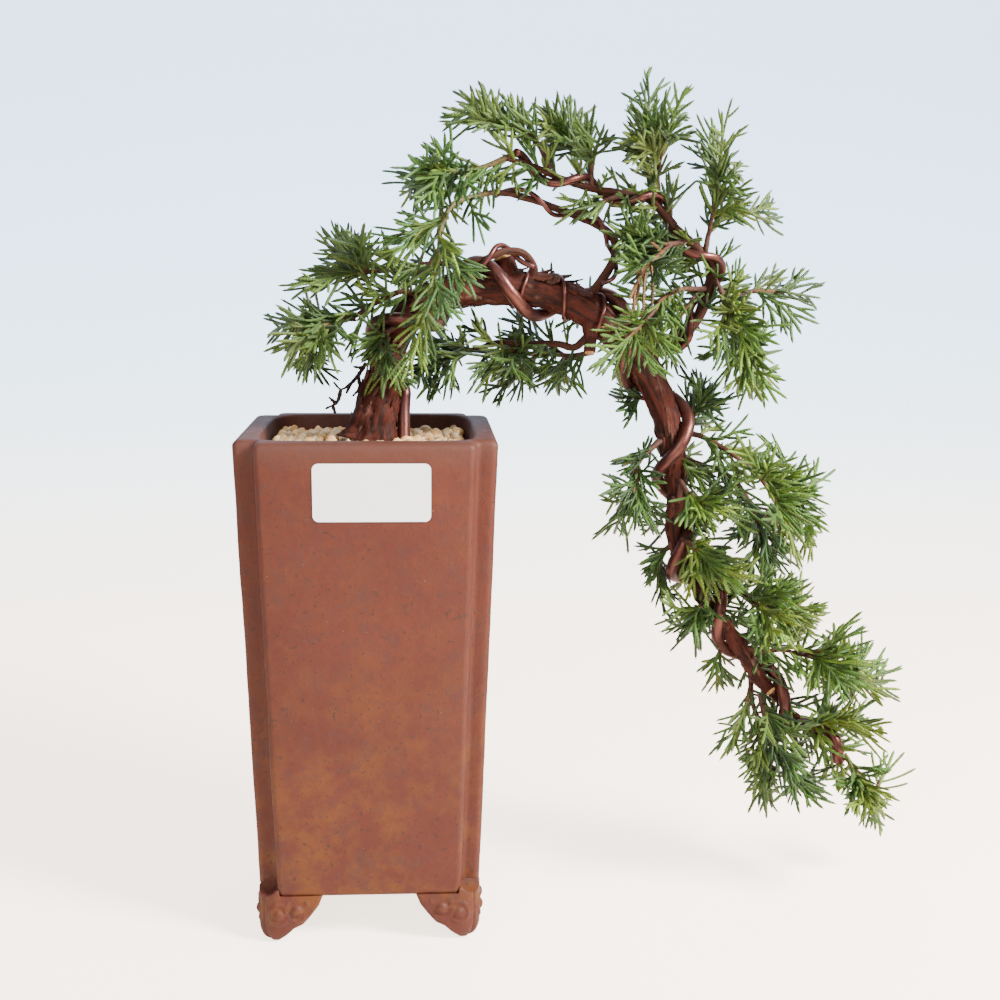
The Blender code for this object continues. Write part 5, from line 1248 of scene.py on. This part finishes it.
class Growth:
    """The wood and the green shoots of one mass. Each shoot is a curve, its plane, radius, slot and tone."""

    def __init__(self, line, first, dice):
        self.dice = dice
        self.shoots, self.twigs = [], []
        self.places, self.headings, _ = line.read(np.arange(first, line.length + 0.1, LEADER_PITCH))
        self.used = np.zeros(len(self.places))

    def foot_for(self, tip):
        """The place on the wood that the next leader grows from: near its tip, along its way, not crowded."""
        ways = np.array(tip) - self.places
        reach = np.linalg.norm(ways, axis=1)
        along = (unit(ways) * self.headings).sum(axis=1)
        best = int((np.maximum(reach, LEADER_NEAR) * (1.9 - along) + self.used).argmin())
        apart = np.linalg.norm(self.places - self.places[best], axis=1)
        self.used += CROWDED * np.exp(-apart / CROWD_REACH)
        return Vector(self.places[best]), Vector(self.headings[best])

    def green(self, curve, normal, radius, slot, tone):
        """Keeps one green shoot."""
        self.shoots.append((*curve, normal, radius, slot, min(1.0, max(0.0, tone))))

    def side_way(self, ahead, normal, side):
        """A direction to one side of a shoot, in its plane or out of it."""
        angle = math.radians(SHOOT_ANGLE * self.dice.uniform(0.6, 1.3))
        spread = self.dice.uniform(-SHOOT_SPREAD, SHOOT_SPREAD)
        out = ahead.cross(normal).normalized() * side + normal * spread
        return (ahead * math.cos(angle) + out.normalized() * math.sin(angle)).normalized()

    def shoot(self, foot, way, ahead, normal, length, slot, tone):
        """A side shoot that sets off one way and bends towards the way its parent grows."""
        bend = ahead * self.dice.uniform(-0.1, 0.5) + normal * self.dice.uniform(-0.2, 0.2)
        curve = (foot, foot + way * length * 0.5, foot + (way + bend).normalized() * length)
        self.green(curve, normal, SHOOT_RADIUS, slot, tone)
        if length > FORK_FROM and self.dice.random() < FORKED:
            self.forks(curve, length, normal, slot, tone)

    def sprays(self, curve, reach, normal, slot, first=0.0):
        """Long side shoots in turn on either side of a leader, up to its free tip."""
        count = max(2, round(reach * (SHOOTS_END - first) / SHOOT_PITCH))
        for i in range(count):
            t = first + (SHOOTS_END - first) * (i + self.dice.uniform(0.1, 0.9)) / count
            point, ahead = on_curve(curve, t)
            length = min(SHOOT_LONGEST, SHOOT_SHORTEST + SHOOT_GAIN * (1 - t) * reach)
            length *= self.dice.uniform(0.6, 1.1)
            way = self.side_way(ahead, normal, (-1) ** i)
            # The tone rises along the leader, so outer shoots are lighter and inner ones darker: partly paler
            # new growth, partly painted highlight and painted shade.
            self.shoot(point, way, ahead, normal, length, slot, 0.55 * t + self.dice.uniform(0.05, 0.5))

    def forks(self, curve, length, normal, slot, tone):
        """One or two shorter shoots on a side shoot."""
        side = (-1) ** self.dice.randrange(2)
        for t in FORK_PLACES[:1 if length < TWO_FORKS_FROM else 2]:
            point, ahead = on_curve(curve, t)
            way = self.side_way(ahead, normal, side)
            reach = (1.0 - t) * length * self.dice.uniform(0.55, 0.95)
            end = point + (way + ahead * 0.25).normalized() * reach
            self.green((point, point + way * reach * 0.5, end), normal, SHOOT_RADIUS * 0.95, slot, tone + 0.1)
            side = -side

    def leader(self, tip, slot):
        """A leader to a tip, from the best place on the wood."""
        self.leader_from(*self.foot_for(tip), tip, slot)

    def leader_from(self, foot, heading, tip, slot):
        """A leading shoot from foot to tip, with its side shoots. The first stretch of a long one is a
        twig, which later leaders can grow from."""
        reach = (tip - foot).length
        way = (tip - foot).normalized()
        across = way.cross(Vector((0.03, -1, 0.02))).normalized()
        normal = Matrix.Rotation(self.dice.uniform(-0.9, 0.9), 3, way) @ way.cross(across)
        bow = normal.cross(way) * self.dice.uniform(-0.14, 0.14)
        middle = foot + (heading * 0.4 + way * 0.6 + bow).normalized() * reach * 0.5
        curve = (foot, middle, tip)
        wooded = max(0.0, (reach - GREEN_REACH) / reach)
        if reach * wooded > WOOD_SHORTEST:
            wood, curve = parted(curve, wooded)
            self.twigs.append(wood)
            self.sprays(wood, reach * wooded, normal, slot, WOOD_BARE)
            steps = [on_curve(wood, t) for t in np.arange(WOOD_BARE, 1.0, LEADER_PITCH / (reach * wooded))]
            if steps:
                self.places = np.vstack([self.places, [point for point, _ in steps]])
                self.headings = np.vstack([self.headings, [ahead for _, ahead in steps]])
                self.used = np.concatenate([self.used, np.zeros(len(steps))])
            reach *= 1 - wooded
        self.green(curve, normal, LEADER_RADIUS, slot, self.dice.uniform(0.3, 0.8))
        self.sprays(curve, reach, normal, slot)

    def stem_shoots(self, slot_for):
        """Shoots that stand out all round the stem, so that it isn't bare."""
        turn = self.dice.uniform(0, 2 * math.pi)
        for place, heading in list(zip(self.places, self.headings))[max(2, len(self.places) // 3):]:
            turn += STEM_TURN
            ahead = Vector(heading)
            out = Matrix.Rotation(turn, 3, ahead) @ ahead.orthogonal().normalized()
            way = (ahead * self.dice.uniform(0.5, 1.3) + out).normalized()
            # Shoots on the stem lie deep in the mass and get low tones: partly painted shade.
            self.shoot(Vector(place), way, ahead, ahead.cross(out), self.dice.uniform(*STEM_SHOOT),
                       slot_for(), self.dice.uniform(0, 0.6))


def keep_clear(shoots, limbs):
    """The shoots whose middle and tip stand clear of the trunk, boughs and wire."""
    centres, radii = limbs
    kept = []
    for start in range(0, len(shoots), 400):
        batch = shoots[start:start + 400]
        clear = np.ones(len(batch), bool)
        for share in (0.5, 1.0):
            places = np.array([on_curve(shoot[:3], share)[0] for shoot in batch])
            gaps = np.linalg.norm(places[:, None] - centres[None], axis=2) - radii
            clear &= (gaps > LIMB_CLEARANCE).all(axis=1)
        kept += [shoot for shoot, good in zip(batch, clear) if good]
    return kept


def add_shoots(pile, shoots):
    """Shoots as slim four-sided rods whose rings swell in turn, like crossed pairs of scale leaves."""
    groups = {}
    for shoot in shoots:
        length = (shoot[1] - shoot[0]).length + (shoot[2] - shoot[1]).length
        groups.setdefault(max(4, min(40, round(length / RING_PITCH))), []).append(shoot)
    for count, group in sorted(groups.items()):
        a, b, c, normal = (np.array([shoot[i] for shoot in group])[:, None] for i in range(4))
        radius = np.array([shoot[4] for shoot in group])[:, None, None]
        slots = np.array([shoot[5] for shoot in group])
        t = np.linspace(0, 1, count + 1)[None, :-1, None]
        points = a * (1 - t) ** 2 + b * 2 * t * (1 - t) + c * t * t
        along = unit((b - a) * (1 - t) + (c - b) * t)
        side = unit(np.cross(along, np.broadcast_to(normal, along.shape)))
        over = np.cross(side, along)
        thin = radius * np.where(t > 1 - 1.01 / count, 0.84, 1 - 0.06 * t)
        swell = np.where(np.arange(count) % 2 == 0, 1.07, 0.93)[None, :, None]
        side, over = side * thin * swell, over * thin * (2 - swell)
        rings = points[:, :, None] + np.stack([side, over, -side, -over], axis=2)
        tips = c + unit(c - b) * radius * 0.3
        surface = np.concatenate([rings.reshape(len(group), count * 4, 3), tips], axis=1)
        size = count * 4 + 1
        # Marks: place among the pairs of scales, the shoot's tone, which partly carries painted shade and
        # painted highlight, share of its length.
        phase = np.arange(count)[:, None] * RING_PITCH / SCALE_PITCH + np.array([0, 0.5, 0, 0.5]) + 0.25
        share = np.repeat(t[0], 4, axis=1).reshape(-1)
        growth = np.zeros((len(group), size, 3))
        growth[:, :-1, 0] = phase.reshape(-1)
        growth[:, :, 1] = np.array([shoot[6] for shoot in group])[:, None]
        growth[:, :, 2] = np.append(share, 1.0)
        quads = ring_faces(count, 4)
        turn, last = np.arange(4), (count - 1) * 4
        ends = np.stack([turn + last, (turn + 1) % 4 + last, np.full(4, count * 4)], axis=1)
        shift = (np.arange(len(group)) * size)[:, None, None]
        faces = [(ends + shift).reshape(-1, 3), (quads + shift).reshape(-1, 4)]
        face_slots = {3: np.repeat(slots, len(ends)), 4: np.repeat(slots, len(quads))}
        pile.add(surface.reshape(-1, 3), faces, face_slots, growth=growth.reshape(-1, 3))


def dealer(tone, greens, dice):
    """Deals one of a tone's greens, now and then the brown of an old shoot."""
    last = len(greens[tone]) - 1
    return lambda: last if dice.random() < OLD_SHARE else dice.randrange(last)


def make_growth(growth, wood, name, node, tone, limbs, greens, woods):
    """Makes the leaves and the wood of one growth."""
    pile = Pile()
    add_shoots(pile, keep_clear(growth.shoots, limbs))
    dressed(pile.make(name + "_leaves", greens[tone]), node, slot="needles")
    for curve in growth.twigs:
        steps = [on_curve(curve, t) for t in np.linspace(0, 1, 12)]
        where, ahead = (np.array([step[i] for step in steps]) for i in range(2))
        rough = np.array([growth.dice.uniform(0.86, 1.14) for _ in steps])
        tube(wood, where, ahead, np.linspace(TWIG_RADIUS, LEADER_RADIUS, 12) * rough, 7)
    if wood.points:
        dressed(wood.make(name + "_twigs", [woods[tone]]), node, slot="bark")


def grow_mass(index, limbs, greens, woods):
    """One stem, leaders from it to each tip and into the depth of the mass, and their sprays."""
    node, stem_points, tips, depth, tone = MASSES[index]
    dice = random.Random(SEED + index)
    stem = Spine(tapered(stem_points, *STEM_RADII))
    growth = Growth(stem, 0.8, dice)
    deal = dealer(tone, greens, dice)
    growth.stem_shoots(deal)
    aims = []
    for order, (x, z) in enumerate(tips):
        for layer in range(1 + sum(depth > limit for limit in LAYER_DEPTHS)):
            wave = math.sin(2.4 * order + index + 2.1 * layer)
            tip = set_back(x, z, stem_points[-1][1] + depth * wave)
            if layer:
                tip = tip.lerp(Vector(stem_points[-1]), dice.uniform(0.12, 0.25) * (1 + layer))
            aims.append(tip)
    aims.sort(key=lambda aim: -(aim - Vector(stem_points[0])).length)
    for tip in aims:
        growth.leader(tip, deal())
    wood = Pile()
    points, directions, radii = stem.read(np.linspace(0, stem.length, 30))
    # The stem starts inside the limb that carries it.
    points = np.vstack([points[:1] - directions[:1] * STEM_SUNK, points])
    tube(wood, points, np.vstack([directions[:1], directions]), np.append(radii[0], radii), 10)
    make_growth(growth, wood, f"{node}_{index}", node, tone, limbs, greens, woods)


def grow_on_limb(index, lines, limbs, greens, woods):
    """Leaders straight out of a limb, all round it but leaning one way, and their sprays."""
    node, limb, first, last, count, reach, lean, tone = LIMB_SPRAYS[index]
    dice = random.Random(SEED + 100 + index)
    growth = Growth(lines[limb], first, dice)
    deal = dealer(tone, greens, dice)
    for i in range(count):
        at = first + (last - first) * (i + dice.random()) / count
        place, heading, radius = lines[limb].read(at)
        ahead = Vector(heading[0])
        out = Matrix.Rotation(STEM_TURN * i, 3, ahead) @ ahead.orthogonal().normalized()
        out = (out + Vector(lean)).normalized()
        way = (ahead * dice.uniform(0.1, 0.8) + out).normalized()
        foot = Vector(place[0]) + out * radius[0] * 0.7
        growth.leader_from(foot, out, foot + way * dice.uniform(*reach), deal())
    make_growth(growth, Pile(), f"{node}_{limb}", node, tone, limbs, greens, woods)


# ---------------------------------------------------------------- studio

def make_backdrop():
    """A pale floor that curves up into a faintly blue backdrop. It shines for the camera more than it
    lights the plant."""
    floor, nodes, shader = principled("studio_floor", {"Roughness": 0.7, "Emission Strength": BACKDROP_GLOW})
    place = nodes.split(nodes.place())
    away = nodes.maths("ADD", place["Y"], place["Z"])
    colour = nodes.ramp(nodes.span(away, 0.2, 2.4, 0.0, 1.0), BACKDROP)
    nodes.put(shader.inputs["Base Color"], colour)
    spill = nodes.mix(1.0, colour, (BACKDROP_SPILL,) * 3, "MULTIPLY")
    seen = nodes.add("ShaderNodeLightPath").outputs["Is Camera Ray"]
    nodes.put(shader.inputs["Emission Color"], nodes.mix(seen, spill, colour))
    profile = [(FLOOR_FRONT, 0.0), (FLOOR_BACK, 0.0)]
    profile += [(FLOOR_BACK + SWEEP_RADIUS * math.sin(turn), SWEEP_RADIUS * (1 - math.cos(turn)))
                for turn in np.linspace(0.1, math.pi / 2, 14)]
    profile.append((FLOOR_BACK + SWEEP_RADIUS, BACKDROP_TOP))
    points = np.array([(x, y, z) for y, z in profile for x in (-FLOOR_SIDE, FLOOR_SIDE)])
    pile = Pile()
    pile.add((points - ORIGIN) / MM, [ring_faces(len(profile), 2, closed=False)])
    pile.make("studio_sweep", [floor])


def make_light():
    """Soft light: pale air all round and three lamps."""
    world = bpy.data.worlds.new("studio_air")
    world.use_nodes = True
    air, glow = Nodes(world.node_tree), world.node_tree.nodes["Background"].inputs
    seen = air.add("ShaderNodeLightPath").outputs["Is Camera Ray"]
    air.put(glow["Color"], (*AIR, 1))
    air.put(glow["Strength"], air.span(seen, 0.0, 1.0, AIR_STRENGTH, AIR_SEEN))
    bpy.context.scene.world = world
    for name, place, size, power, colour in LAMPS:
        lamp = bpy.data.lights.new(name, "AREA")
        lamp.size, lamp.energy, lamp.color = size, power, colour
        light = placed(bpy.data.objects.new(name, lamp))
        light.location = settled(place)
        aim = Vector(settled(LAMP_AIM)) - light.location
        light.rotation_euler = aim.to_track_quat("-Z", "Y").to_euler()


def make_camera():
    """The view of the tree's front, from a little above the rim of the pot."""
    lens = bpy.data.cameras.new("view")
    lens.lens, lens.sensor_width = CAMERA_LENS, CAMERA_SENSOR
    camera = placed(bpy.data.objects.new("view", lens))
    right, up = Vector(CAMERA_RIGHT), Vector(CAMERA_UP)
    turn = Matrix((right, up, right.cross(up))).transposed().to_4x4()
    camera.matrix_world = Matrix.Translation(settled(CAMERA_PLACE)) @ turn
    bpy.context.scene.camera = camera


def make_pot_and_soil(mottle):
    """The pot with its four feet and its label, and the soil in its mouth."""
    clay = clay_material(mottle)
    make_pot(clay)
    for index in range(4):
        make_foot(index, clay)
    make_label(label_material())
    make_soil([pebble_material(f"pebble_{i + 1}", colour, mottle) for i, colour in enumerate(PEBBLES)])


def make_wood(trunk, boughs):
    """Everything of the tree but its foliage."""
    bark = bark_material("trunk_bark", *OLD_BARK)
    make_trunk(trunk, bark, cut_material())
    make_flakes(trunk, bark)
    make_boughs(boughs, bark_material("bough_bark", *YOUNG_BARK))
    make_wires(trunk, boughs, wire_material())
    make_dead_twig(twig_material("dead_wood", *DEAD_WOOD))


def make_foliage(trunk, boughs):
    """The masses, then the sprays straight out of the limbs, all clear of the limbs and the heavy wire."""
    scales = leaf_group()
    greens = {}
    for tone, colours in GREENS.items():
        greens[tone] = [leaf_material(f"leaf_{tone}_{i + 1}", colour, scales)
                        for i, colour in enumerate(colours)]
        greens[tone].append(leaf_material(f"old_{tone}", OLD_SHOOT, scales))
    brown = twig_material("twig_bark", *BROWN_TWIG)
    woods = {"fresh": brown, "mid": brown, "deep": brown, "blue": twig_material("young_twig", *GREEN_TWIG)}
    lines = {"trunk": trunk, **boughs}
    wire = winding(trunk, TRUNK_WINDING, TRUNK_WIRE)[::5]
    centres = np.vstack([line.rows[:, :3] for line in lines.values()] + [wire])
    radii = np.concatenate([line.rows[:, 3] for line in lines.values()] + [np.full(len(wire), TRUNK_WIRE)])
    for index in range(len(MASSES)):
        grow_mass(index, (centres, radii), greens, woods)
    for index in range(len(LIMB_SPRAYS)):
        grow_on_limb(index, lines, (centres, radii), greens, woods)


def main():
    trunk = Spine(TRUNK)
    boughs = {name: Spine(tapered(points, radius_a, radius_b)) for name, points, radius_a, radius_b in BOUGHS}
    make_pot_and_soil(mottle_group())
    make_wood(trunk, boughs)
    make_foliage(trunk, boughs)
    make_backdrop()
    make_light()
    make_camera()


main()
